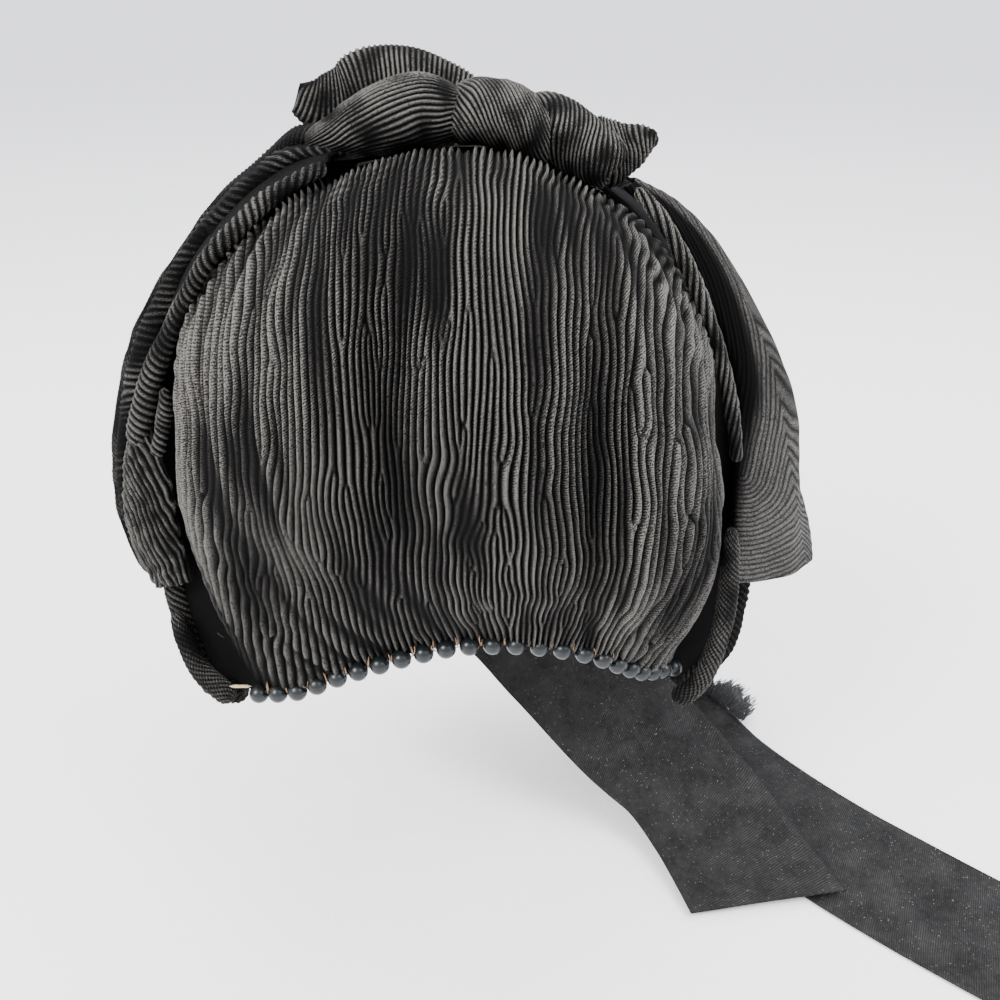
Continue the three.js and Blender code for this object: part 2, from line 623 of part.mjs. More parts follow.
function beads() {
  const row = new THREE.Group();
  for (let i = 0; i < BEAD_COUNT; i += 1) {
    const ball = new THREE.SphereGeometry(BEAD_DIAMETER / 2, BEAD_SIDES, BEAD_BANDS);
    const bead = piece(`bead_${String(i + 1).padStart(2, '0')}`, ball, BEAD);
    bead.position.copy(napePoint(i / (BEAD_COUNT - 1)));
    row.add(bead);
  }
  return row;
}

function rolls() {
  const group = new THREE.Group();
  const rim = crimpedRoll(rimPath, () => RIM_ROLL_RADIUS, { stations: 44 });
  group.add(piece('rim_roll', rim, CRAPE));
  const ears = { left_ear_roll: LEFT_EAR_ROLL, right_ear_roll: RIGHT_EAR_ROLL };
  for (const [name, table] of Object.entries(ears)) {
    const shape = crimpedRoll((at) => point(table, at), () => EAR_ROLL_RADIUS, { stations: 14 });
    group.add(piece(name, shape, CRAPE));
  }
  const twists = {
    left_twist_roll: LEFT_TWIST_ROLL,
    left_inner_roll: LEFT_INNER_ROLL,
    right_twist_roll: RIGHT_TWIST_ROLL,
  };
  for (const [name, table] of Object.entries(twists)) {
    const radius = (at) => column(table, 'r', at);
    const shape = crimpedRoll((at) => point(table, at), radius, { stations: 18, twist: 0.5 });
    group.add(piece(name, shape, CRAPE));
  }
  return group;
}

function drapes() {
  const group = new THREE.Group();
  const outward = new THREE.Vector3(-0.55, -0.8, 0);
  group.add(piece('left_outer_fold', uprightFold(LEFT_OUTER_FOLD, { stations: 18, crimp: 0.4 }), CRAPE));
  group.add(piece('left_middle_fold', uprightFold(LEFT_MIDDLE_FOLD, { stations: 16, crimp: 0.3 }), CRAPE));
  const left = { stations: 10, across: 6, crimp: 0.3, facing: outward };
  group.add(piece('left_lappet', lappet(LEFT_LAPPET, left), CRAPE));
  const right = { stations: 16, across: 8, crimp: 0.4, facing: new THREE.Vector3(0.5, -0.87, 0) };
  group.add(piece('right_drape', lappet(RIGHT_DRAPE, right), CRAPE));
  return group;
}

function bow() {
  const group = new THREE.Group();
  group.add(piece('bow_left_tail', puff(BOW_LEFT_TAIL), CRAPE));
  group.add(piece('bow_left_puff', puff(BOW_LEFT_PUFF), CRAPE));
  group.add(piece('bow_knot', knot(BOW_KNOT), CRAPE));
  group.add(piece('bow_right_puff', puff(BOW_RIGHT_PUFF), CRAPE));
  group.add(piece('bow_right_tail', puff(BOW_RIGHT_TAIL), CRAPE));
  return group;
}

function ties() {
  const group = new THREE.Group();
  group.add(piece('left_tie', ribbon(LEFT_TIE, 22, LEFT_TIE_SLANT), RIBBON));
  group.add(piece('right_tie', ribbon(RIGHT_TIE, 28), RIBBON));
  group.add(piece('frayed_tuft', frayedTuft(), RIBBON));
  return group;
}

const bonnet = new THREE.Group();
bonnet.add(piece('crown_panel', crownPanel(), CRAPE));
bonnet.add(piece('cap_shell', capShell(), SHELL));
bonnet.add(rolls(), drapes(), bow(), beads(), ties());

export default bonnet;
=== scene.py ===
import logging
import math
from dataclasses import dataclass
from enum import Enum
from typing import Callable

import bpy
import numpy as np
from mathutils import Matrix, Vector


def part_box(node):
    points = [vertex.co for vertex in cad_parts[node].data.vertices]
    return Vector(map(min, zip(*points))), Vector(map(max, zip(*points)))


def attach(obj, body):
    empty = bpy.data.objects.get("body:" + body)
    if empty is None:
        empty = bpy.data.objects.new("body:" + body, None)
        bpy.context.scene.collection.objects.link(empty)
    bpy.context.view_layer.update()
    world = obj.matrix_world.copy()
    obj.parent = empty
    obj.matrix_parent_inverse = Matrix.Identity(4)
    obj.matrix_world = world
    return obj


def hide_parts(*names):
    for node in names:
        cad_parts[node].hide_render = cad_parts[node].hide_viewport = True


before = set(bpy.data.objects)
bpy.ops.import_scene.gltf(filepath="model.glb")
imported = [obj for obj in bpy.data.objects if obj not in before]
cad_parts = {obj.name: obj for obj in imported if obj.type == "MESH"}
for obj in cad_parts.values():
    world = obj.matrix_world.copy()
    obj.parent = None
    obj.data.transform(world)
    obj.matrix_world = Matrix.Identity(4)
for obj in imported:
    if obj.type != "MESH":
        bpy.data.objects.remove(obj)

LOG = logging.getLogger("bonnet")
MM = 0.001
TURN = 2 * math.pi
Array = np.ndarray
Piece = bpy.types.Object
Finish = bpy.types.Material
Colour = tuple[float, float, float]
Place = tuple[float, float]


class Stuff(Enum):
    """The record's material slots."""

    CRAPE = "crape"
    RIBBON = "ribbon"
    BEAD = "bead"
    STIFF_CLOTH = "stiff_cloth"


# Reading tables and paths

@dataclass(frozen=True)
class Table:
    """Rows of named columns, read as one smooth curve from the first row to the last."""

    columns: str
    rows: tuple[tuple[float, ...], ...]

    def values(self, name: str) -> Array:
        """Returns one column as it stands in the table."""
        return np.array([row[self.columns.split().index(name)] for row in self.rows], dtype=float)

    def at(self, name: str, part: Array) -> Array:
        """Reads one column at fractions of the way down the table."""
        values = self.values(name)
        place = np.clip(part, 0, 1) * (len(values) - 1)
        row = np.minimum(np.floor(place).astype(int), len(values) - 2)
        t = place - row
        a, b, c, d = (values[np.clip(row + k, 0, len(values) - 1)] for k in (-1, 0, 1, 2))
        return b + 0.5 * t * (c - a + t * (2 * a - 5 * b + 4 * c - d + t * (3 * (b - c) + d - a)))

    def points(self, part: Array, names: str = "x y z") -> Array:
        """Reads three columns as points."""
        return np.stack([self.at(name, part) for name in names.split()], axis=-1)


def unit(vectors: Array) -> Array:
    """Scales vectors to length one."""
    return vectors / np.maximum(np.linalg.norm(vectors, axis=-1, keepdims=True), 1e-9)


def square_to(vectors: Array, axis: Array) -> Array:
    """Returns the unit part of vectors that is square to an axis."""
    return unit(vectors - np.sum(vectors * axis, axis=-1, keepdims=True) * axis)


def lengths(points: Array) -> Array:
    """Returns how far along a row of points each one lies."""
    steps = np.linalg.norm(np.diff(points, axis=0), axis=-1)
    return np.concatenate([[0.0], np.cumsum(steps)])


def even_parts(path: Callable[[Array], Array], count: int) -> tuple[Array, float]:
    """Finds fractions that divide a path into equal lengths, and the path's length."""
    fine = np.linspace(0, 1, 2000)
    run = lengths(path(fine))
    return np.interp(np.linspace(0, run[-1], count), run, fine), float(run[-1])


def spaced(path: Callable[[Array], Array], pitch: float, each: float = 1) -> tuple[Array, float]:
    """Finds fractions that divide a path evenly, so many to each pitch, and the path's length."""
    length = even_parts(path, 2)[1]
    return even_parts(path, int(length / pitch * each))


def ease(amount: Array) -> Array:
    """Turns 0 to 1 into a smooth step."""
    held = np.clip(amount, 0, 1)
    return held * held * (3 - 2 * held)


def sample(table: Array, across: Array, up: Array) -> Array:
    """Reads an evenly spaced table between its entries.

    Args:
        table: Its rows go up and its columns across.
        across: Fractions across the table.
        up: Fractions up the table.

    Returns:
        A value for each pair of fractions.
    """
    rows, columns = table.shape
    x = np.clip(across, 0, 1) * (columns - 1)
    y = np.clip(up, 0, 1) * (rows - 1)
    i = np.minimum(x.astype(int), columns - 2)
    j = np.minimum(y.astype(int), rows - 2)
    low = table[j, i] * (1 - x + i) + table[j, i + 1] * (x - i)
    high = table[j + 1, i] * (1 - x + i) + table[j + 1, i + 1] * (x - i)
    return low * (1 - y + j) + high * (y - j)


def headings(points: Array) -> Array:
    """Returns the unit direction of a row of points at each of them."""
    return unit(np.gradient(points, axis=0))


# Random variation, the same in each run

@dataclass(frozen=True)
class Wave:
    """A random variation: its size, and how many bumps it has across and along."""

    size: float
    across: int
    along: int


class Drift:
    """Smooth random values over a surface."""

    def __init__(self, seed: int) -> None:
        """Starts the run of values from a seed."""
        self.source = np.random.default_rng(seed)

    def over(self, u: Array, v: Array, wave: Wave, wrap: bool = False) -> Array:
        """Reads smooth values.

        Args:
            u: Fractions across the surface, from 0 to 1.
            v: Fractions along it, of the same shape.
            wave: The size and the number of the bumps.
            wrap: Whether the surface closes on itself across.

        Returns:
            A value for each point.
        """
        lattice = self.source.standard_normal((wave.along + 4, wave.across + 4))
        if wrap:
            lattice[:, wave.across:] = lattice[:, :4]
        total = np.zeros(np.broadcast(u, v).shape)
        x = np.clip(u, 0, 1) * wave.across
        y = np.clip(v, 0, 1) * wave.along
        left = np.minimum(np.floor(x).astype(int), wave.across - 1)
        low = np.minimum(np.floor(y).astype(int), wave.along - 1)
        for i, weight_y in enumerate(self._weights(y - low)):
            for j, weight_x in enumerate(self._weights(x - left)):
                total = total + weight_y * weight_x * lattice[low + i, left + j]
        return wave.size * total

    @staticmethod
    def _weights(t: Array) -> tuple[Array, ...]:
        """Returns the four weights of a smooth cubic."""
        return (
            (1 - t) ** 3 / 6 * 1.5,
            (3 * t**3 - 6 * t**2 + 4) / 6 * 1.5,
            (-3 * t**3 + 3 * t**2 + 3 * t + 1) / 6 * 1.5,
            t**3 / 6 * 1.5,
        )


def branches(x: Array, y: Array, low: Place, high: Place, count: int, seed: int) -> Array:
    """Gives a phase that makes single ribs part in two and join again further on.

    Args:
        x: Place square to the ribs, in millimetres.
        y: Place along the ribs, in millimetres.
        low: The least x and y of the cloth.
        high: The greatest x and y.
        count: How many ribs part and join again.
        seed: Start of the random places.

    Returns:
        The phase to add, in radians.
    """
    source = np.random.default_rng(seed)
    phase = np.zeros(np.broadcast(x, y).shape)
    for at_x, at_y in source.uniform(low, high, (count, 2)):
        run = source.uniform(12, 60)
        aside = source.uniform(-2, 2)
        phase = phase + np.arctan2(x - at_x, y - at_y)
        phase = phase - np.arctan2(x - at_x - aside, y - at_y - run)
    return phase


# The layout of the ribs is drawn on a plane square to a slanting line of sight from behind
EYE = (14, -337, 52)
SLANT_COS, SLANT_SIN = 0.886, 0.463
PLANE_AWAY = 262


def away(points: Array) -> Array:
    """Returns how far points lie from the eye along its line of sight."""
    return (points[..., 1] - EYE[1]) * SLANT_COS + (EYE[2] - points[..., 2]) * SLANT_SIN


def seen(points: Array) -> tuple[Array, Array]:
    """Returns how far right and up points look on the plane, in millimetres."""
    up = (points[..., 1] - EYE[1]) * SLANT_SIN - (EYE[2] - points[..., 2]) * SLANT_COS
    return (points[..., 0] - EYE[0]) * PLANE_AWAY / away(points), up * PLANE_AWAY / away(points)


def crests(phase: Array, sharp: float) -> Array:
    """Returns rounded crests from 0 to 1, narrower where sharp is greater."""
    return (0.5 + 0.5 * np.cos(phase)) ** sharp


@dataclass(frozen=True)
class Crinkle:
    """How the ribs of a piece vary: their course, their height and the cloth under them."""

    courses: tuple[Wave, ...]
    uneven: Wave
    sway: Wave
    least: float = 0.25
    most: float = 1.7
    sharp: float = 1.1

    def ribs(
        self, phase: Array, coarse: float, seed: int, across: Array, down: Array, wrap: bool = False
    ) -> tuple[Array, Array, Array]:
        """Varies straight ribs.

        Args:
            phase: The phase of the straight ribs, in radians.
            coarse: How many ribs are raised for each turn of the phase.
            seed: Start of the random values.
            across: Fractions across the piece.
            down: Fractions along it.
            wrap: Whether the piece closes on itself across.

        Returns:
            The varied phase, the height on a rib from 0 to 1, and the sway of the cloth.
        """
        wander = Drift(seed)
        for wave in self.courses:
            phase = phase + wander.over(across, down, wave, wrap)
        tall = 1 + wander.over(across, down, self.uneven, wrap)
        crest = crests(phase * coarse, self.sharp) * np.clip(tall, self.least, self.most)
        return phase, crest, wander.over(across, down, self.sway, wrap)


# Meshes

def face_out(grid: Array, wrap: bool) -> Array:
    """Returns the unit normals of a grid of points, rows going up and columns across."""
    up = np.gradient(grid, axis=0)
    if wrap:
        open_grid = grid[:, :-1]
        across = np.roll(open_grid, -1, axis=1) - np.roll(open_grid, 1, axis=1)
        across = np.concatenate([across, across[:, :1]], axis=1)
    else:
        across = np.gradient(grid, axis=1)
    return unit(np.cross(across, up))


def raised(grid: Array, lift: Array, wrap: bool = False) -> Array:
    """Moves the points of a grid out by a height for each."""
    return grid + face_out(grid, wrap) * lift[..., None]


def tube(middle: Array, towards: Colour, size: Array) -> Array:
    """Returns closed rings round a path.

    Args:
        middle: The points of the path.
        towards: Roughly where each ring starts.
        size: The radius of each point, a row for each ring.

    Returns:
        The points of the rings.
    """
    along = headings(middle)
    side = square_to(np.broadcast_to(towards, along.shape), along)
    out = np.cross(along, side)
    angle = np.linspace(0, TURN, size.shape[1])[None, :, None]
    turned = np.cos(angle) * side[:, None] + np.sin(angle) * out[:, None]
    points = middle[:, None] + turned * size[..., None]
    points[:, -1] = points[:, 0]
    return points


def beside(middle: Array, side: Array, aside: Array, up: Array, high: Array) -> Array:
    """Returns a grid beside a path, so far aside and so far up, with a row for each point."""
    return middle[:, None] + side[:, None] * aside[..., None] + up[:, None] * high[..., None]


def select_only(piece: Piece) -> None:
    """Makes one piece the only selected and the active one."""
    bpy.ops.object.select_all(action="DESELECT")
    piece.select_set(True)
    bpy.context.view_layer.objects.active = piece


@dataclass
class Cloth:
    """A grid of points that becomes a mesh: rows run along it and columns across it."""

    name: str
    points: Array
    crest: Array
    weave: Array
    wrap: bool = False
    turns: Array | None = None

    def add(self, wall: float = 0.0) -> Piece:
        """Makes the mesh from a moved grid, and gives an open cloth a wall, inwards."""
        rows, columns = self.points.shape[:2]
        bpy.ops.mesh.primitive_grid_add(x_subdivisions=columns - 1, y_subdivisions=rows - 1, size=1)
        piece = bpy.context.object
        piece.name = piece.data.name = self.name
        mesh = piece.data
        mesh.vertices.foreach_set("co", (self.points * MM).astype(np.float32).ravel())
        corner = np.empty(len(mesh.loops), dtype=np.int32)
        mesh.loops.foreach_get("vertex_index", corner)
        layer = mesh.uv_layers[0]
        layer.name = "Weave"
        layer.data.foreach_set("uv", self.weave.reshape(-1, 2)[corner].astype(np.float32).ravel())
        for name, values in (("crest", self.crest), ("turns", self.turns)):
            if values is not None:
                layer = mesh.attributes.new(name, "FLOAT", "POINT")
                layer.data.foreach_set("value", values.astype(np.float32).ravel())
        mesh.update()
        if self.wrap:
            self._close(piece)
        if wall:
            thick = piece.modifiers.new("Wall", "SOLIDIFY")
            thick.thickness = wall * MM
            thick.offset = -1
            select_only(piece)
            bpy.ops.object.modifier_apply(modifier="Wall")
        select_only(piece)
        bpy.ops.object.shade_smooth()
        return piece

    @staticmethod
    def _close(piece: Piece) -> None:
        """Joins the seam and the poles of a tube and turns its faces outwards."""
        select_only(piece)
        bpy.ops.object.mode_set(mode="EDIT")
        bpy.ops.mesh.select_all(action="SELECT")
        bpy.ops.mesh.remove_doubles(threshold=1e-6)
        bpy.ops.mesh.dissolve_degenerate(threshold=1e-7)
        bpy.ops.mesh.normals_make_consistent(inside=False)
        bpy.ops.object.mode_set(mode="OBJECT")


def weave_of(points: Array) -> Array:
    """Lays a weave over a grid by its own lengths, in millimetres."""
    across = np.linalg.norm(np.diff(points, axis=1), axis=-1)
    up = np.linalg.norm(np.diff(points, axis=0), axis=-1)
    u = np.concatenate([np.zeros((points.shape[0], 1)), np.cumsum(across, axis=1)], axis=1)
    v = np.concatenate([np.zeros((1, points.shape[1])), np.cumsum(up, axis=0)], axis=0)
    u = u - u[:, [u.shape[1] // 2]]
    return np.stack([u, np.repeat(v[:, [v.shape[1] // 2]], v.shape[1], axis=1)], axis=-1)


def parts(rows: int, columns: int) -> tuple[Array, Array]:
    """Returns the fractions across and along of a grid."""
    return np.meshgrid(np.linspace(0, 1, columns), np.linspace(0, 1, rows))


# Materials

class Value:
    """A number in a material. Arithmetic on it adds Math nodes."""

    def __init__(self, tree: bpy.types.NodeTree, socket: bpy.types.NodeSocket) -> None:
        """Wraps a socket of a node tree."""
        self.tree = tree
        self.socket = socket

    def _math(self, operation: str, *others: "Value | float", first: bool = True) -> "Value":
        """Adds a Math node of this value and others; first puts this value first."""
        node = self.tree.nodes.new("ShaderNodeMath")
        node.operation = operation
        terms = [self, *others] if first else [*others, self]
        for slot, term in zip(node.inputs, terms):
            if isinstance(term, Value):
                self.tree.links.new(term.socket, slot)
            else:
                slot.default_value = term
        return Value(self.tree, node.outputs[0])

    def __add__(self, other: "Value | float") -> "Value":
        """Adds."""
        return self._math("ADD", other)

    def __mul__(self, other: "Value | float") -> "Value":
        """Multiplies."""
        return self._math("MULTIPLY", other)

    def __sub__(self, other: "Value | float") -> "Value":
        """Takes the other from this."""
        return self._math("SUBTRACT", other)

    def __rsub__(self, other: float) -> "Value":
        """Takes this from a number."""
        return self._math("SUBTRACT", other, first=False)

    def __pow__(self, other: float) -> "Value":
        """Raises to a power."""
        return self._math("POWER", other)

    def sine(self) -> "Value":
        """Returns the sine."""
        return self._math("SINE")

    def over(self, limit: float) -> "Value":
        """Returns 1 where this is greater than a limit, and 0 elsewhere."""
        return self._math("GREATER_THAN", limit)

    def held(self) -> "Value":
        """Keeps this from 0 to 1."""
        low = self._math("MAXIMUM", 0.0)
        return low._math("MINIMUM", 1.0)


class Paint:
    """A material being put together."""

    def __init__(self, name: str, roughness: float, **fixed: float | Colour) -> None:
        """Starts a material.

        Args:
            name: Its name.
            roughness: Its roughness before any variation.
            fixed: Shader sockets, with underscores for spaces, that are the same all over.
        """
        self.material = bpy.data.materials.new(name)
        self.material.use_nodes = True
        self.tree = self.material.node_tree
        self.shader = self.tree.nodes["Principled BSDF"]
        self.shader.inputs["Roughness"].default_value = roughness
        for words, amount in fixed.items():
            socket = self.shader.inputs[words.replace("_", " ")]
            socket.default_value = (*amount, 1) if isinstance(amount, tuple) else amount

    def node(
        self,
        kind: str,
        settings: dict[str, str] | None = None,
        inputs: dict[str | int, object] | None = None,
        out: int | str = 0,
    ) -> Value:
        """Adds any node.

        Args:
            kind: The node's type without its ShaderNode.
            settings: What is set on the node first.
            inputs: Values or links of its sockets, by name or number.
            out: The output that is wanted.

        Returns:
            That output.
        """
        node = self.tree.nodes.new("ShaderNode" + kind)
        for name, setting in (settings or {}).items():
            setattr(node, name, setting)
        for name, amount in (inputs or {}).items():
            if isinstance(amount, Value):
                self.tree.links.new(amount.socket, node.inputs[name])
            else:
                node.inputs[name].default_value = amount
        return Value(self.tree, node.outputs[out])

    def place(self) -> Value:
        """Returns the place on the object."""
        return self.node("TexCoord", out="Object")

    def noise(self, scale: float, detail: float = 2.0, stretch: Colour = (1, 1, 1)) -> Value:
        """Returns an even noise on the object, from about 0.2 to 0.8."""
        place = self.node("Mapping", inputs={"Vector": self.place(), "Scale": stretch})
        return self.node("TexNoise", inputs={"Vector": place, "Scale": scale, "Detail": detail})

    def weave(self) -> tuple[Value, Value]:
        """Returns the place on the cloth across and along, in millimetres."""
        uv = self.node("UVMap", {"uv_map": "Weave"})
        across, along = (self.node("SeparateXYZ", inputs={"Vector": uv}, out=axis) for axis in "XY")
        return across, along

    def attribute(self, name: str) -> Value:
        """Returns a value that the mesh carries."""
        return self.node("Attribute", {"attribute_name": name}, out="Fac")

    def fine(self) -> Value:
        """Returns how high on its fine rib the cloth is, or 1 where it has none."""
        return ((self.attribute("turns") + 0.25) * TURN).sine() * 0.5 + 0.5

    def mix(self, amount: Value, low: Colour | Value, high: Colour | Value) -> Value:
        """Mixes two colours."""
        low, high = (c if isinstance(c, Value) else (*c, 1) for c in (low, high))
        return self.node("Mix", {"data_type": "RGBA"}, {0: amount, 6: low, 7: high}, out=2)

    def feed(self, socket: str, value: Value) -> None:
        """Links a value that varies to the shader."""
        self.tree.links.new(value.socket, self.shader.inputs[socket])

    def bump(self, height: Value, deep: float, strength: float = 1.0) -> None:
        """Adds relief, with its depth in millimetres."""
        inputs = {"Height": height, "Distance": deep * MM, "Strength": strength}
        self.feed("Normal", self.node("Bump", inputs=inputs))


@dataclass(frozen=True)
class CrapeFinish:
    """Dull black crape: its crests grey-brown, partly from dust and partly as a painted highlight,
    its grooves near-black, darker than the crests as painted shade, with a fine slanting thread.
    """

    name: str = "black_crape"
    groove: Colour = (0.0007, 0.0006, 0.0008)
    crest: Colour = (0.12, 0.115, 0.106)
    thread_pitch: float = 0.74

    def make(self) -> Finish:
        """Returns the material."""
        paint = Paint(self.name, 0.7, Specular_IOR_Level=0.06)
        across, along = paint.weave()
        ripple = paint.noise(420, 1) * 0.7
        thread = ((along - across * 1.2 + ripple) * (TURN / self.thread_pitch)).sine() * 0.5 + 0.5
        fine = paint.fine()
        grain = ((paint.noise(2300, 2) - 0.34) * 3.2).held()
        cloud = paint.noise(26, 3)
        # Painted highlight and shade: the crests' lightness, partly dust, moves the colour from the
        # groove colour to the crest colour.
        lit = (paint.attribute("crest") ** 1.9) * ((fine**0.7) * 0.85 + 0.15)
        lit = lit * (thread * 0.7 + 0.25) * (grain * 2 + 0.12) * (cloud * 1.6 + 0.05)
        paint.feed("Base Color", paint.mix(lit.held(), self.groove, self.crest))
        paint.feed("Roughness", (0.85 - lit * 0.35).held())
        paint.bump(thread * 0.7 + fine * 2.2 + grain * 0.8, 0.2)
        return paint.material


@dataclass(frozen=True)
class BandFinish:
    """Stiffened black cotton with a plain weave."""

    name: str = "stiffened_cotton"
    dark: Colour = (0.0005, 0.0005, 0.0006)
    light: Colour = (0.003, 0.003, 0.0034)
    thread_pitch: float = 0.6

    def make(self) -> Finish:
        """Returns the material."""
        paint = Paint(self.name, 0.95, Specular_IOR_Level=0.06)
        across, along = paint.weave()
        weft = (across * (TURN / self.thread_pitch)).sine()
        warp = (along * (TURN / self.thread_pitch)).sine()
        net = weft * warp * 0.5 + 0.5
        cloud = paint.noise(60, 3)
        paint.feed("Base Color", paint.mix((net * cloud * 1.6).held(), self.dark, self.light))
        paint.bump(net + cloud * 0.5, 0.12)
        return paint.material


@dataclass(frozen=True)
class RibbonFinish:
    """Black ribbed ribbon, dusty, with a fine weft and worn patches."""

    name: str = "black_ribbon"
    dark: Colour = (0.0025, 0.0025, 0.0026)
    light: Colour = (0.026, 0.0258, 0.0252)
    dust: Colour = (0.16, 0.16, 0.15)
    weft_pitch: float = 0.85

    def make(self) -> Finish:
        """Returns the material."""
        paint = Paint(self.name, 0.6, Specular_IOR_Level=0.15)
        across, along = paint.weave()
        ripple = paint.noise(150, 1) * 1.1
        weft = ((along + across * 0.3 + ripple) * (TURN / self.weft_pitch)).sine() * 0.5 + 0.5
        warp = (across * (TURN / 0.4)).sine() * 0.5 + 0.5
        worn = (paint.noise(75, 5) * 1.5 + paint.noise(420, 2) * 0.9 - 0.72).held()
        lit = (worn * (weft * 0.75 + warp * 0.2 + 0.2)).held()
        cloth = paint.mix(lit, self.dark, self.light)
        specks = (paint.noise(1300, 2) - 0.70).over(0.0) * 0.6
        paint.feed("Base Color", paint.mix(specks, cloth, self.dust))
        paint.feed("Roughness", (0.72 - lit * 0.2).held())
        paint.bump(weft * 0.8 + warp * 0.25, 0.09)
        return paint.material


@dataclass(frozen=True)
class BeadFinish:
    """Turned wood stained black and rubbed to a satin shine."""

    name: str = "stained_wood"
    dark: Colour = (0.003, 0.0042, 0.0048)
    light: Colour = (0.011, 0.0145, 0.016)

    def make(self) -> Finish:
        """Returns the material."""
        paint = Paint(self.name, 0.3, Specular_IOR_Level=0.32, Coat_Weight=0.05, Coat_Roughness=0.2)
        grain = paint.noise(420, 4, (1, 1, 0.25))
        wear = paint.noise(160, 2)
        paint.feed("Base Color", paint.mix((grain * 1.2 - 0.2).held(), self.dark, self.light))
        paint.feed("Roughness", (wear * 0.2 + 0.2).held())
        paint.bump(grain, 0.03)
        return paint.material


@dataclass(frozen=True)
class ThreadFinish:
    """Plain spun thread or straw, varied a little along its length."""

    name: str
    dark: Colour
    light: Colour
    roughness: float = 0.7

    def make(self) -> Finish:
        """Returns the material."""
        paint = Paint(self.name, self.roughness, Sheen_Weight=0.1)
        grain = paint.noise(900, 3)
        paint.feed("Base Color", paint.mix((grain * 1.6 - 0.3).held(), self.dark, self.light))
        paint.bump(grain, 0.05)
        return paint.material


class Wardrobe:
    """Every finish, made once and given to pieces by its name."""

    def __init__(self) -> None:
        """Makes the finishes."""
        self.crape = CrapeFinish().make()
        self.band = BandFinish().make()
        self.ribbon = RibbonFinish().make()
        self.bead = BeadFinish().make()
        self.brown = ThreadFinish("brown_thread", (0.09, 0.045, 0.02), (0.3, 0.17, 0.08)).make()
        self.straw = ThreadFinish("bare_straw", (0.28, 0.2, 0.1), (0.55, 0.45, 0.3)).make()
        black = ThreadFinish("black_thread", (0.006, 0.006, 0.0065), (0.05, 0.05, 0.052))
        self.black = black.make()

    @staticmethod
    def dress(piece: Piece, finish: Finish, stuff: Stuff, *nodes: str) -> None:
        """Finishes a piece, hangs it from the root body, hides the solids that it stands for and
        logs its faces.

        Args:
            piece: The piece.
            finish: Its material.
            stuff: What it is made of, by the record; not used.
            nodes: The solids that it stands for.
        """
        piece.data.materials.clear()
        piece.data.materials.append(finish)
        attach(piece, "root")
        if nodes:
            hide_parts(*nodes)
        LOG.info("%s: %d faces", piece.name, len(piece.data.polygons))


# Crown panel and the beads along its hem

def bead_centre(number: int) -> Array:
    """Returns the middle of a bead's solid, in millimetres."""
    low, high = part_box(f"bead_{number:02d}")
    return (np.array(low) + np.array(high)) / 2 / MM


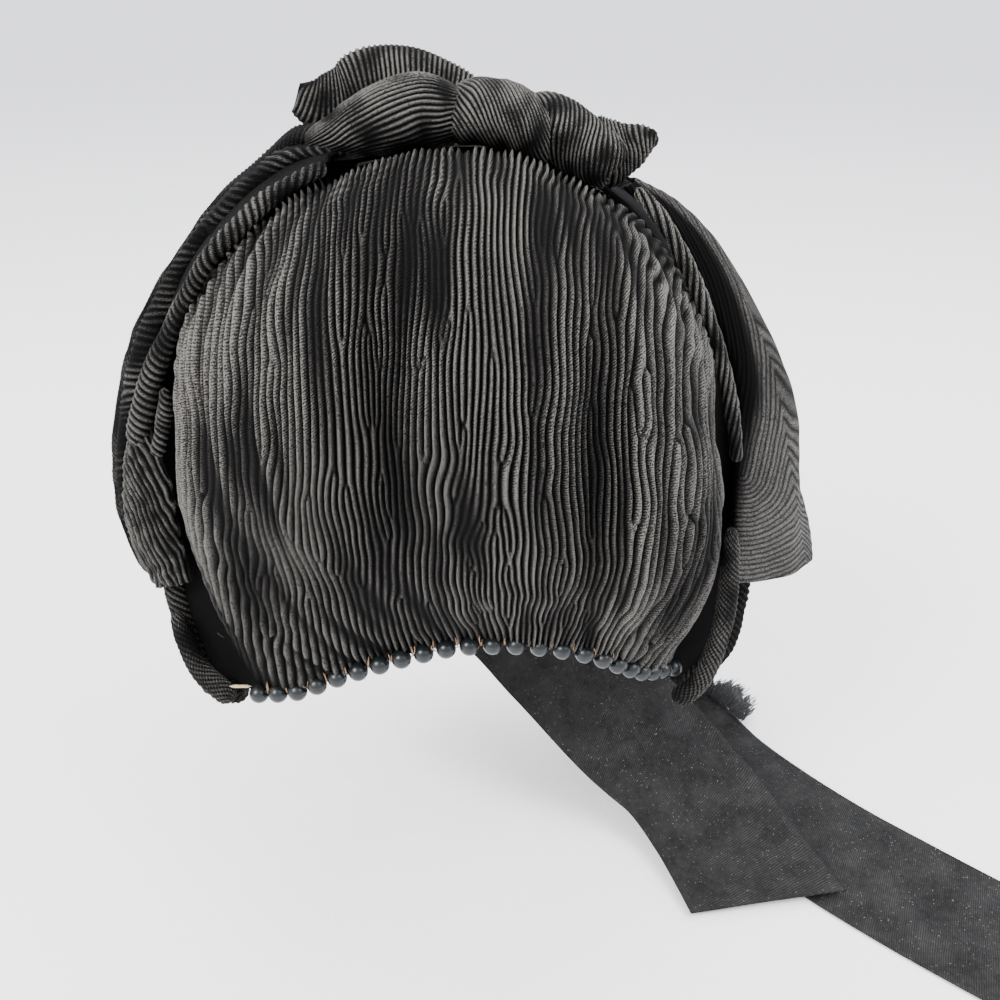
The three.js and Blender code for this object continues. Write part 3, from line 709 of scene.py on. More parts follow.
@dataclass
class CrownPanel:
    """The puffed crape panel over the back of the head, from the nape up to the bow."""

    middle_x: float = 4
    rib_pitch: float = 2.1
    rib_height: float = 0.9
    rib_branches: int = 95
    wide_course: Wave = Wave(0.9, 13, 8)
    close_course: Wave = Wave(1, 48, 30)
    uneven: Wave = Wave(0.32, 90, 12)
    patches: Wave = Wave(0.2, 9, 6)
    sway: Wave = Wave(1.2, 9, 7)
    pucker: Wave = Wave(1, 22, 12)
    hem_rise: float = -0.6
    hem_back: float = 1.2
    lining_gap: float = 4.5
    turned_pitch: float = 0.42
    level: float = 0.36
    tuck: float = 3.4
    tuck_run: float = 2.6
    fullness_y: float = 0.85
    fullness_z: float = 1.3
    columns: int = 880
    rows: int = 108
    beads: int = 23
    edges: Table = Table("leftX leftY leftZ backY backZ rightX rightY rightZ", (
        (-69.5, -63, -162, -68, -138, 78.5, -40, -169),
        (-77, -57, -152, -80, -125, 80.5, -40, -158),
        (-83.5, -49, -138, -94, -106, 83, -39, -143),
        (-88, -42, -120, -103, -84, 85, -37, -123),
        (-89.5, -37, -101, -107, -61, 85, -34, -102),
        (-89, -33, -82, -104, -38, 83.5, -31, -82),
        (-87.5, -30, -64, -92, -15, 82.5, -29, -65),
        (-84, -28, -48, -68, 1.5, 78.5, -27, -53),
        (-79, -25, -33, -42, 6.5, 73.5, -24, -41),
        (-71.5, -20, -22, -12, 3.5, 67, -20, -31),
    ))
    dents: Table = Table("x z wide tall deep", (
        (-14, -62, 12, 55, 4.5),
        (38, -66, 11, 40, 3.5),
        (-62, -112, 9, 26, 3),
        (66, -118, 9, 30, 3),
    ))

    def nape(self, part: Array) -> Array:
        """Returns the line through the bead centres."""
        centres = tuple(tuple(bead_centre(i + 1)) for i in range(self.beads))
        return Table("x y z", centres).points(part)

    def plain(self, side: Array, rise: Array) -> Array:
        """Returns the panel's rounding alone, side from -1 to 1 and rise from 0 to 1."""
        angle = side * math.pi / 2
        depth = np.maximum(np.cos(angle), 0)
        left, right = (
            {key: self.edges.at(edge + key, rise) for key in "XYZ"} for edge in ("left", "right")
        )
        ends = {key: np.where(side < 0, left[key], right[key]) for key in "XYZ"}
        back_y = self.edges.at("backY", rise)
        back_z = self.edges.at("backZ", rise)
        x = self.middle_x + (ends["X"] - self.middle_x) * np.abs(np.sin(angle))
        y = ends["Y"] + (back_y - ends["Y"]) * depth**self.fullness_y
        z = ends["Z"] + (back_z - ends["Z"]) * depth**self.fullness_z
        return np.stack([x, y, z], axis=-1)

    def surface(self, across: Array, rise: Array) -> Array:
        """Returns the panel without its ribs, across from left to right."""
        side = 2 * across - 1
        hem = self.nape(across) + np.array((0, self.hem_back, self.hem_rise))
        fade = ((1 - rise) ** 4)[..., None]
        placed = self.plain(side, rise) + (hem - self.plain(side, np.zeros_like(rise))) * fade
        for x, z, wide, tall, deep in self.dents.rows:
            off = ((placed[..., 0] - x) / wide) ** 2 + ((placed[..., 2] - z) / tall) ** 2
            placed[..., 1] += deep * np.exp(-off)
        return placed

    def upright(self, points: Array) -> Array:
        """Returns the place square to ribs that fan out a little towards the top."""
        return (points[..., 0] - self.middle_x) * PLANE_AWAY / away(points)

    def rib_place(self, across: Array, rise: Array) -> Array:
        """Returns the place square to the ribs, which bend in to the hem, most on the right."""
        eased = 0.5 * (rise + self.level + np.sqrt((rise - self.level) ** 2 + 0.01))
        bent = self.upright(self.surface(across, np.minimum(eased, 1)))
        straight = self.upright(self.surface(across, rise))
        return straight + (bent - straight) * (0.2 + 0.8 * ease((across - 0.42) / 0.35))

    @staticmethod
    def from_border(grid: Array, axis: int) -> Array:
        """Returns how far each point of a grid is from the nearer end of its row or column."""
        steps = np.linalg.norm(np.diff(grid, axis=axis), axis=-1)
        run = np.cumsum(np.insert(steps, 0, 0, axis=axis), axis=axis)
        return np.minimum(run, np.take(run, [-1], axis=axis) - run)

    def along_ribs(self) -> tuple[Array, Array, Array]:
        """Lays a grid whose columns run along the ribs, each from border to border.

        Returns:
            The fractions across and up the panel, and the rib place of each column.
        """
        level, side = np.linspace(0, 1, 260), np.linspace(0, 1, 901)
        across, rise = np.meshgrid(side, level)
        table = self.rib_place(across, rise)
        cloth = np.linalg.norm(np.diff(self.surface(across, rise), axis=1), axis=-1)
        run = np.cumsum(np.maximum(np.diff(table, axis=1), self.turned_pitch * cloth), axis=1)
        table = table[:, [450]] + np.insert(run, 0, 0, axis=1) - run[:, [449]]
        left, right = table[:, 0], table[:, -1]
        a, b = int(left.argmin()), int(right.argmax())
        column = np.linspace(left[a] + 0.1, right[b] - 0.1, self.columns)
        low = np.maximum(
            np.interp(column, np.minimum.accumulate(left[:a + 1])[::-1], level[:a + 1][::-1]),
            np.interp(column, np.maximum.accumulate(right[:b + 1]), level[:b + 1]),
        )
        high = np.minimum(
            np.interp(column, np.maximum.accumulate(left[a:]), level[a:]),
            np.interp(column, np.minimum.accumulate(right[b:])[::-1], level[b:][::-1]),
        )
        up = low + (high - low) * np.linspace(0, 1, self.rows)[:, None]
        crossing = np.array([np.interp(column, row, side) for row in table])
        over = [np.interp(up[:, k], level, crossing[:, k]) for k in range(self.columns)]
        return np.stack(over, axis=1), up, np.broadcast_to(column, up.shape)

    def borders(self, across: Array, rise: Array) -> tuple[Array, Array]:
        """Returns how far the panel's points are from its side borders and from its top."""
        side, level = parts(200, 400)
        spots = self.surface(side, level)
        from_side = sample(self.from_border(spots, 1), across, rise)
        from_top = sample(self.from_border(spots, 0), across, np.maximum(rise, 0.5))
        return from_side, from_top

    def turned_in(self, from_side: Array, from_top: Array) -> Array:
        """Returns how far in the cloth turns where it goes under the folds and the bow."""
        gone = (from_side / self.tuck_run, from_top / self.tuck_run)
        side, top = (np.clip(1 - run, 0, 1) ** 1.5 for run in gone)
        return self.tuck * np.minimum(side + top, 1.3)

    def pressed(self, across: Array, height: Array, from_side: Array) -> Array:
        """Returns how flat the ribs are pressed beside the ears, over a wider patch on the left."""
        left = np.where(across < 0.5, from_side, 99)
        patch = ease(1 - left / 30) * ease((-114 - height) / 16)
        return np.maximum(patch, 0.8 * ease(1 - from_side / 9) * ease((-132 - height) / 8))

    def worn(self, base: Array, crest: Array, from_side: Array, from_top: Array) -> Array:
        """Returns how light the cloth's colour is: dust and a painted highlight on its crests,
        painted shade in the hollows and along the side borders, and a middle value along the top
        border.
        """
        # Painted shade in the hollows: the crests' lightness drops where the panel sinks.
        dust = crest * (1 - 0.6 * self.sunk(base))
        # Painted shade along the side borders, where the cloth turns in beside the rolls; the top
        # border is evened to a middle value.
        top, edge = ease(1.2 - from_top / 2.5), ease(1.2 - from_side / 4)
        return (dust * (1 - top) + 0.5 * top) * (1 - 0.85 * edge)

    def build(self) -> Piece:
        """Makes the ribbed panel."""
        across, rise, place = self.along_ribs()
        base = self.surface(across, rise)
        height = base[..., 2]
        wander = Drift(11)
        calm = 0.4 + 0.6 * ease((rise - 0.05) / 0.3)
        phase = TURN * place / self.rib_pitch + wander.over(across, rise, self.wide_course)
        phase = phase + calm * wander.over(across, rise, self.close_course)
        phase += branches(place, height, (-95, -170), (95, 0), self.rib_branches, 5)
        tall = 1 + wander.over(across, rise, self.uneven) + wander.over(across, rise, self.patches)
        crest = crests(phase, 0.85) * np.clip(tall, 0.3, 1.5)
        from_side, from_top = self.borders(across, rise)
        pressed = self.pressed(across, height, from_side)
        near_hem = np.exp(-rise / 0.05)
        lift = self.rib_height * (1 + 0.3 * near_hem) * (2 * crest - 1) * (1 - 0.85 * pressed)
        sway = wander.over(across, rise, self.sway)
        sway = sway + 0.4 * calm * wander.over(across, rise, self.pucker)
        fade = np.clip(from_side / 6, 0.12, 1) * np.clip((from_top - 1) / 10, 0.05, 1)
        fade = fade * np.clip(0.3 + rise / 0.05, 0, 1)
        points = raised(base, (lift + sway) * fade - self.turned_in(from_side, from_top))
        # The colour's lightness: dust and painted highlight on the crests, painted shade in the
        # hollows and at the side borders.
        worn = self.worn(base, crest * (1 - 0.8 * pressed), from_side, from_top)
        return Cloth("crown_crape", points, worn, np.stack([place, height], axis=-1)).add()

    def sunk(self, points: Array) -> Array:
        """Returns how much of each point lies in one of the panel's hollows, from 0 to 1, which is
        where shade is painted into the colour.
        """
        total = np.zeros(points.shape[:2])
        for x, z, wide, tall, _ in self.dents.rows:
            aside, up = (points[..., 0] - x) / wide, (points[..., 2] - z) / tall
            total += np.exp(-(aside**2) - up**2)
        return np.minimum(total, 1)

    def lining(self) -> Piece:
        """Makes the plain lining inside the panel."""
        across, rise = parts(70, 110)
        base = self.surface(across, rise)
        from_side, from_top = self.borders(across, rise)
        points = raised(base, -(self.lining_gap + self.turned_in(from_side, from_top)))
        return Cloth("crown_lining", points, np.full(across.shape, 0.5), weave_of(points)).add(0.5)


@dataclass
class CapBand:
    """The stiffened band between the crown panel and the rim, over the top and down both sides."""

    wall: float = 1.4
    lap: float = 8
    short: float = 5.6
    forward: float = 2.0
    stations: int = 200
    columns: int = 12
    ripple: Wave = Wave(0.3, 3, 40)

    def border(self, crown: CrownPanel, part: Array) -> Array:
        """Returns the crown panel's border: up the left edge, over the top, down the right."""
        leg = part * 3
        left = crown.surface(np.zeros_like(leg), np.clip(leg, 0, 1))
        top = crown.surface(np.clip(leg - 1, 0, 1), np.ones_like(leg))
        right = crown.surface(np.ones_like(leg), np.clip(3 - leg, 0, 1))
        return np.where((leg < 1)[..., None], left, np.where((leg < 2)[..., None], top, right))

    def build(self, crown: CrownPanel, rim: "RimRoll") -> Piece:
        """Makes the band."""
        part = np.linspace(0, 1, self.stations)
        back = self.border(crown, part)
        span = rim.path(part) - back
        length = np.linalg.norm(span, axis=-1, keepdims=True)
        span = span / length
        start = back - span * self.lap + np.array((0, self.forward, 0))
        reach = np.maximum(length + self.lap - self.short, 1)
        share = np.linspace(0, 1, self.columns)[None, :, None]
        points = start[:, None] + span[:, None] * reach[:, None] * share
        points = raised(points, Drift(21).over(*parts(self.stations, self.columns), self.ripple))
        crest = np.full(points.shape[:2], 0.5)
        return Cloth("cap_band", points, crest, weave_of(points)).add(self.wall)


# Rolls

@dataclass
class Roll:
    """A roll of crape along a path, with ribs that wind round it."""

    name: str
    node: str
    pitch: float = 2.2
    strands: int = 6
    height: float = 0.55
    sides: int = 28
    per_rib: int = 6
    seed: int = 1
    slack: float = 0.25
    # dust scales the crests' lightness over the whole roll: their dust and their painted highlight
    # alike.
    dust: float = 1.0

    def path(self, part: Array) -> Array:
        """Returns the middle of the roll."""
        raise NotImplementedError

    def radius(self, part: Array) -> Array:
        """Returns the roll's radius."""
        raise NotImplementedError

    def build(self) -> Piece:
        """Makes the roll with rounded ends."""
        part, length = spaced(self.path, self.pitch, self.per_rib)
        around, down = parts(len(part), self.sides + 1)
        angle = np.linspace(0, TURN, self.sides + 1)
        run = np.linspace(0, length, len(part))
        phase = TURN * run[:, None] / self.pitch + self.strands * angle[None, :]
        crinkle = Crinkle(
            (Wave(0.9, 3, max(4, int(length / 9))),),
            Wave(0.3, 6, max(6, int(length / 5))),
            Wave(self.slack, 3, max(4, int(length / 14))),
            least=0.3,
            most=1.6,
        )
        _, crest, sway = crinkle.ribs(phase, 1, self.seed, around, down, wrap=True)
        radius = self.radius(part)
        size = radius[:, None] + self.height * (crest - 0.55) + sway
        end = np.minimum(run, length - run) / (1.2 * radius)
        size = size * np.sqrt(np.clip(1 - (1 - np.clip(end, 0, 1)) ** 2, 0, 1))[:, None]
        points = tube(self.path(part), (0.0, 1.0, 0.0), size)
        weave = np.stack([angle * radius[:, None], np.repeat(run[:, None], self.sides + 1, 1)], -1)
        return Cloth(self.name, points, crest * self.dust, weave, wrap=True).add()


@dataclass
class RimRoll(Roll):
    """The crimped roll that binds the face edge."""

    name: str = "rim_binding"
    node: str = "rim_roll"
    strands: int = 8
    pitch: float = 2.6
    height: float = 0.8
    dust: float = 0.7
    thick: float = 4.1
    places: Table = Table("at x y z", (
        (0, -75, -58, -170),
        (0.04, -89, -50, -170.5),
        (0.08, -97, -42, -153),
        (0.12, -101.5, -34, -133),
        (0.17, -103, -18, -104),
        (0.22, -101, 2, -79),
        (0.28, -93, 20, -56),
        (0.333, -80, 30, -36),
        (0.4, -56, 37, -16),
        (0.5, 2, 42, -3.5),
        (0.6, 58, 37, -17),
        (0.667, 80, 30, -36),
        (0.72, 93, 20, -56),
        (0.78, 101, 2, -79),
        (0.83, 104, -14, -104),
        (0.88, 103, -20, -135),
        (0.92, 101.5, -24, -156),
        (0.96, 97, -28, -173),
        (1, 84, -33, -185),
    ))

    def path(self, part: Array) -> Array:
        """Returns the middle of the roll, by the table's own column of fractions."""
        marks = self.places.values("at")
        return self.places.points(np.interp(part, marks, np.linspace(0, 1, len(marks))))

    def radius(self, part: Array) -> Array:
        """Returns the roll's radius."""
        return np.full_like(part, self.thick)


@dataclass
class EarRoll(Roll):
    """The second roll beside the rim at an ear."""

    places: Table = Table("x y z", ())
    thick: float = 3.4
    strands: int = 10

    def path(self, part: Array) -> Array:
        """Returns the middle of the roll."""
        return self.places.points(part)

    def radius(self, part: Array) -> Array:
        """Returns the roll's radius, smaller where it comes out from under the drape."""
        return self.thick * (0.5 + 0.5 * np.clip(part / 0.3, 0, 1))


@dataclass
class TwistRoll(EarRoll):
    """A narrow roll beside the crown panel, whose radius is in its table."""

    def radius(self, part: Array) -> Array:
        """Returns the roll's radius."""
        return self.places.at("r", part)


EAR_ROLLS = (
    EarRoll("left_ear_binding", "left_ear_roll", seed=31, places=Table("x y z", (
        (-98, -48, -142.5),
        (-94.5, -53, -150),
        (-88, -60, -159.5),
        (-76.5, -67.5, -165.5),
    ))),
    EarRoll("right_ear_binding", "right_ear_roll", seed=32, places=Table("x y z", (
        (92, -43, -112),
        (93, -43, -124),
        (94, -42, -144),
        (92, -43, -161),
        (86, -47, -174),
        (76.5, -50, -180),
    ))),
)

TWIST_ROLLS = (
    TwistRoll("left_twisted_roll", "left_twist_roll", strands=3, pitch=2.7, height=0.5, dust=0.85,
              seed=33, places=Table("x y z r", (
        (-36.5, -35, 3.5, 2),
        (-43.2, -41, 0.6, 2.4),
        (-53.2, -44, -5, 2.7),
        (-61, -47, -11.4, 2.7),
        (-68.5, -49.5, -18.2, 2.7),
        (-76.3, -47, -27.9, 2.7),
        (-83.2, -43.5, -38.1, 2.8),
        (-90.3, -41, -49.7, 3),
        (-96.5, -39, -61.6, 3.4),
        (-101.5, -38.5, -73.1, 3.6),
        (-105.4, -38, -84, 3.2),
    ))),
    TwistRoll("left_inner_twist", "left_inner_roll", strands=3, height=0.7,
              seed=34, places=Table("x y z r", (
        (-90.2, -46, -61, 2),
        (-91.5, -45, -68, 2.4),
        (-93.4, -44, -75.3, 2.4),
        (-96.9, -44, -85.1, 2),
    ))),
    TwistRoll("right_twisted_roll", "right_twist_roll", pitch=6, strands=-6, height=0.6,
              seed=35, places=Table("x y z r", (
        (53.7, -36, -2.5, 1.8),
        (59.7, -38, -9, 2.2),
        (67.6, -39, -20.5, 2.3),
        (73.7, -39, -32, 2.3),
        (79.2, -39, -44.5, 2.3),
        (84.7, -39, -59.3, 2.3),
        (89.2, -39, -74.7, 2.4),
        (91.8, -39, -89.7, 2),
    ))),
)


# Draped folds

@dataclass
class UprightFold:
    """A fold of crape: two legs joined by a round ridge that faces out."""

    name: str
    node: str
    ridge: Table
    slant: float = 0.5
    pitch: float = 2.2
    height: float = 0.5
    # dust scales the crests' lightness over the whole fold: their dust and their painted highlight
    # alike.
    dust: float = 1.0
    per_rib: int = 5
    ridge_columns: int = 15
    leg_columns: int = 5
    wall: float = 1.0
    seed: int = 1

    def build(self) -> Piece:
        """Makes the fold, its ribs running across it at a slant."""
        part, length = spaced(self.ridge.points, self.pitch, self.per_rib)
        ridge = self.ridge.points(part)
        along = headings(ridge)
        turn = np.radians(self.ridge.at("heading", part))
        inward = square_to(np.stack([-np.sin(turn), np.cos(turn), np.zeros_like(turn)], -1), along)
        side = np.cross(inward, along)
        half = self.ridge.at("half", part)[:, None]
        deep = self.ridge.at("deep", part)[:, None]
        bend = np.radians(np.linspace(0, 180, self.ridge_columns))[None, :]
        legs = np.linspace(1, 0, self.leg_columns + 1)[None, :-1]
        aside = np.concatenate([-half + 0 * legs, -half * np.cos(bend), half + 0 * legs], axis=1)
        back = np.concatenate([
            half + (deep - half) * legs,
            half - half * np.sin(bend),
            half + (deep - half) * legs[:, ::-1],
        ], axis=1)
        base = beside(ridge, side, aside, inward, back)
        rows, columns = base.shape[:2]
        run = np.linspace(0, length, rows)[:, None]
        reach = weave_of(base)[..., 0]
        crinkle = Crinkle(
            (Wave(1.4, 3, int(length / 10)), Wave(0.8, 6, int(length / 4))),
            Wave(0.4, 5, int(length / 5)),
            Wave(0.35, 3, int(length / 15)),
            least=0.3,
        )
        phase = TURN * (run + self.slant * reach) / self.pitch
        _, crest, sway = crinkle.ribs(phase, 1, self.seed, *parts(rows, columns))
        points = raised(base, self.height * (2 * crest - 1) + sway)
        weave = np.stack([reach, np.repeat(run, columns, 1)], -1)
        return Cloth(self.name, points, crest * self.dust, weave).add(self.wall)


LEFT_FOLDS = (
    UprightFold("left_outer_drape", "left_outer_fold", slant=0.7, pitch=1.8, height=0.24, dust=0.55,
                seed=41, ridge=Table("x y z half deep heading", (
        (-31, -15, 9.6, 1.6, 5, 30),
        (-46.7, -15, 7, 2.6, 9, 20),
        (-63.3, -10, -4.8, 3.2, 12, 10),
        (-79, -7, -18, 3.4, 13, 5),
        (-100.6, -5, -42, 3.6, 12, -15),
        (-114.8, -5, -64.5, 3.8, 12, -35),
        (-124.4, -7, -89, 4, 14, -50),
        (-128.6, -7, -110, 4, 16, -60),
        (-128.1, -11, -127.9, 3.6, 15, -65),
        (-121.5, -15, -144, 2.8, 10, -65),
    ))),
    UprightFold("left_middle_drape", "left_middle_fold", slant=-0.6, pitch=2.7, height=0.2,
                dust=0.55, seed=42, ridge=Table("x y z half deep heading", (
        (-31, -25, 6.2, 1.4, 4, 25),
        (-47, -24, 4, 2.2, 6, 20),
        (-56, -25, -1, 2.6, 7, 20),
        (-68, -25, -10, 3, 8, 15),
        (-84.5, -24, -27, 3.4, 8, 10),
        (-98, -24, -47, 3.8, 8, 0),
        (-108.5, -23, -67, 4.2, 8, -10),
        (-116.5, -23, -90, 4.4, 8, -20),
        (-119.5, -24, -111, 4.2, 8, -25),
        (-118, -26, -129, 3.4, 8, -35),
    ))),
)


@dataclass
class LeftValley:
    """The drape's cloth at the bottom of the folds, from the crown panel to the outer fold."""

    wall: float = 0.9
    high: float = 6
    low: float = -134
    rows: int = 90
    columns: int = 41
    over_top: float = 0.35
    beside_border: Place = (-0.5, 1.5)
    under_border: Place = (-3.5, 8)
    under_roll: Place = (0, 5.5)
    inside_fold: float = 1.5

    def build(self, crown: CrownPanel) -> Piece:
        """Makes the cloth level by level, each from the crown's border out to the outer fold."""
        level = np.linspace(self.high, self.low, self.rows)
        over = np.linspace(self.over_top, 0, 60)
        rise = np.linspace(1, 0.1, 80)
        top = crown.surface(over, np.ones_like(over))
        border = np.concatenate([top, crown.surface(np.zeros_like(rise), rise)])
        part = np.linspace(0, 1, 80)
        roll = TWIST_ROLLS[0].path(part[part < 0.8])
        lappet = LeftLappet().edges.points(part, "inX inY inZ")
        front = np.concatenate([roll, lappet])
        lines = [
            self.at_levels(border, level, self.beside_border),
            self.at_levels(border, level, self.under_border),
            self.at_levels(front, level, self.under_roll),
        ]
        for fold in reversed(LEFT_FOLDS):
            lines.append(self.at_levels(self.behind(fold, part), level, (0, 0)))
        spots = np.stack(lines, axis=1)
        share = np.linspace(0, len(lines) - 1, self.columns)
        left = np.minimum(share.astype(int), len(lines) - 2)
        blend = ease(share - left)[None, :, None]
        points = (spots[:, left] * (1 - blend) + spots[:, left + 1] * blend)[::-1, ::-1]
        crest = np.full(points.shape[:2], 0.25)
        return Cloth("left_drape_valley", points, crest, weave_of(points)).add(self.wall)

    @staticmethod
    def at_levels(line: Array, level: Array, shift: Place) -> Array:
        """Reads a line at heights, and moves it in x and y."""
        order = np.argsort(line[:, 2])
        x, y = (np.interp(level, line[order, 2], line[order, k]) + shift[k] for k in (0, 1))
        return np.stack([x, y, level], axis=-1)

    def behind(self, fold: UprightFold, part: Array) -> Array:
        """Returns a line just inside a fold's open side."""
        turn = np.radians(fold.ridge.at("heading", part))
        inward = np.stack([-np.sin(turn), np.cos(turn), np.zeros_like(turn)], -1)
        deep = fold.ridge.at("deep", part) - self.inside_fold
        return fold.ridge.points(part) + inward * deep[:, None]


@dataclass
class Lappet:
    """A broad lappet between two edges, standing out between them, its inner edge rolled under."""

    name: str
    node: str
    edges: Table
    facing: Colour
    rows: int = 260
    columns: int = 120
    pitch: float = 2.2
    coarse: float = 1
    height: float = 0.5
    wall: float = 1.0
    seed: int = 1
    curl_columns: int = 14
    crinkle: Crinkle = Crinkle(
        (Wave(0.8, 7, 12), Wave(0.4, 16, 26)), Wave(0.22, 18, 26), Wave(0.4, 5, 8)
    )

    def base(self) -> tuple[Array, Array, Array]:
        """Returns the plain surface, with the fractions across from the inner edge and down."""
        across, down = parts(self.rows, self.columns)
        part = down[:, 0]
        outer = self.edges.points(part, "outX outY outZ")
        inner = self.edges.points(part, "inX inY inZ")
        bulge = self.edges.at("bulge", part)[:, None]
        curl = self.edges.at("curl", part)[:, None]
        span = inner - outer
        line = unit(span)
        out = square_to(np.broadcast_to(self.facing, line.shape), line)
        share = np.linspace(0, 1, self.columns - self.curl_columns)[None, :]
        stand = bulge * np.sin(math.pi * share) ** 0.8
        face = outer[:, None] + span[:, None] * share[..., None] + out[:, None] * stand[..., None]
        bend = np.linspace(0, 1, self.curl_columns + 1)[None, 1:]
        under = inner[:, None] - out[:, None] * (curl * bend * 1.35)[..., None]
        tuck = curl * (0.3 * np.sin(math.pi * bend) - 0.15 * bend)
        rolled = under + line[:, None] * tuck[..., None]
        surface = np.concatenate([face, rolled], axis=1)
        return (surface[:, ::-1] if self.facing[0] < 0 else surface), across, down

    def phase(self, points: Array) -> Array:
        """Returns the ribs' phase before it wanders."""
        raise NotImplementedError

    def build(self) -> Piece:
        """Makes the lappet."""
        base, across, down = self.base()
        phase = self.phase(base)
        phase, crest, sway = self.crinkle.ribs(phase, self.coarse, self.seed, across, down)
        points = raised(base, self.height * (2 * crest - 1) + sway)
        turns = None if self.coarse == 1 else phase / TURN
        # The colour's lightness: the crests' dust and painted highlight, times the painted shade.
        worn = (crest if turns is None else 0.88 + 0.12 * crest) * self.painted_shade(across, down)
        return Cloth(self.name, points, worn, weave_of(base), turns=turns).add(self.wall)

    def painted_shade(self, across: Array, down: Array) -> Array:
        """Returns the shade painted into the colour, from 0, darkest, to 1, none; this one paints
        none.
        """
        return np.ones_like(across)


@dataclass
class LeftLappet(Lappet):
    """The left lappet, with long slanting ribs that bend towards its lower tip."""

    name: str = "left_lappet_drape"
    node: str = "left_lappet"
    facing: Colour = (-0.55, -0.8, 0)
    rows: int = 200
    columns: int = 90
    seed: int = 43
    edges: Table = Table("outX outY outZ inX inY inZ bulge curl", (
        (-107.2, -33, -77, -102.5, -38, -77, 1.2, 0.8),
        (-109.8, -33, -88.8, -97.7, -43, -88.5, 3, 1.5),
        (-113.6, -33, -103.1, -94.4, -45, -98.8, 4.5, 1.5),
        (-114.9, -33, -118.7, -93.7, -47, -110.9, 5, 1.5),
        (-112.9, -34, -131.1, -92.8, -48, -122.7, 4, 1.2),
        (-108.2, -36, -139, -93, -48, -131, 3, 1),
    ))

    def phase(self, points: Array) -> Array:
        """Returns the ribs' phase: lines that fall from the outer edge towards the inner one."""
        bowed = points[..., 0] + 0.0035 * (points[..., 2] + 80) ** 2
        return TURN * (0.88 * bowed + 0.5 * points[..., 2]) / self.pitch


@dataclass
class RightDrape(Lappet):
    """The broad right lappet: a roll at the top, spreading into a panel ribbed like a leaf."""

    name: str = "right_lappet_drape"
    node: str = "right_drape"
    facing: Colour = (0.5, -0.87, 0)
    rows: int = 176
    columns: int = 146
    seed: int = 44
    height: float = 0.1
    pitch: float = 1.2
    coarse: float = 0.5
    fan: Place = (63.4, 6.5)
    lean: float = 13
    vein: float = 1.6
    spine: Table = Table("u v", (
        (62, 60),
        (69.7, 40.9),
        (72, 34.3),
        (73.5, 25),
        (75, 17.6),
        (77, 3.9),
        (78.6, -4.5),
        (80, -12),
        (82, -24),
    ))
    edges: Table = Table("outX outY outZ inX inY inZ bulge curl", (
        (53, -8, -3, 53.1, -22, -4.5, 3, 1),
        (65, -5, -11, 64.4, -20, -13.1, 6, 2.5),
        (78, 0, -24, 75.2, -20, -23.7, 9, 4.5),
        (91, 4, -42, 84.6, -20, -38.6, 11, 5.5),
        (103, 6, -62, 92, -22, -54.5, 12, 5),
        (115, 7, -86, 96.3, -25, -70.2, 12.5, 4),
        (124, 5, -110, 95.8, -30, -84.4, 11, 3),
        (132, 0, -131, 95.4, -35, -105.9, 7, 2),
        (135.5, -5, -147, 97.2, -36, -138, 5, 1.5),
    ))

    def phase(self, points: Array) -> Array:
        """Returns the ribs' phase: lines along the roll that open into a leaf's veins."""
        u, v = seen(points)
        aside, high = self.spine.values("u")[::-1], self.spine.values("v")[::-1]
        beyond = np.maximum(u - np.interp(v, high, aside), 0)
        v = v + self.vein * beyond
        u = np.where(beyond > 0, np.interp(v, high, aside), u)
        return TURN * self.from_fan(u, v) / self.pitch

    def from_fan(self, u: Array, v: Array) -> Array:
        """Returns how far places lie from the line whose lower end the ribs go round."""
        turn = math.radians(self.lean)
        a = (u - self.fan[0]) * math.sin(turn) + (v - self.fan[1]) * math.cos(turn)
        b = (u - self.fan[0]) * math.cos(turn) - (v - self.fan[1]) * math.sin(turn)
        up = np.maximum(a, 0)
        return np.where(a < 0, np.hypot(a, b), np.abs(b + 0.0015 * up**2 + 0.000073 * up**3))

    def painted_shade(self, across: Array, down: Array) -> Array:
        """Returns the painted shade: dark in the hollow beside the crown panel, where shade falls,
        and none further out.
        """
        return ease((1 - across - 0.26 * (1 - down)) / 0.12)


# Bow

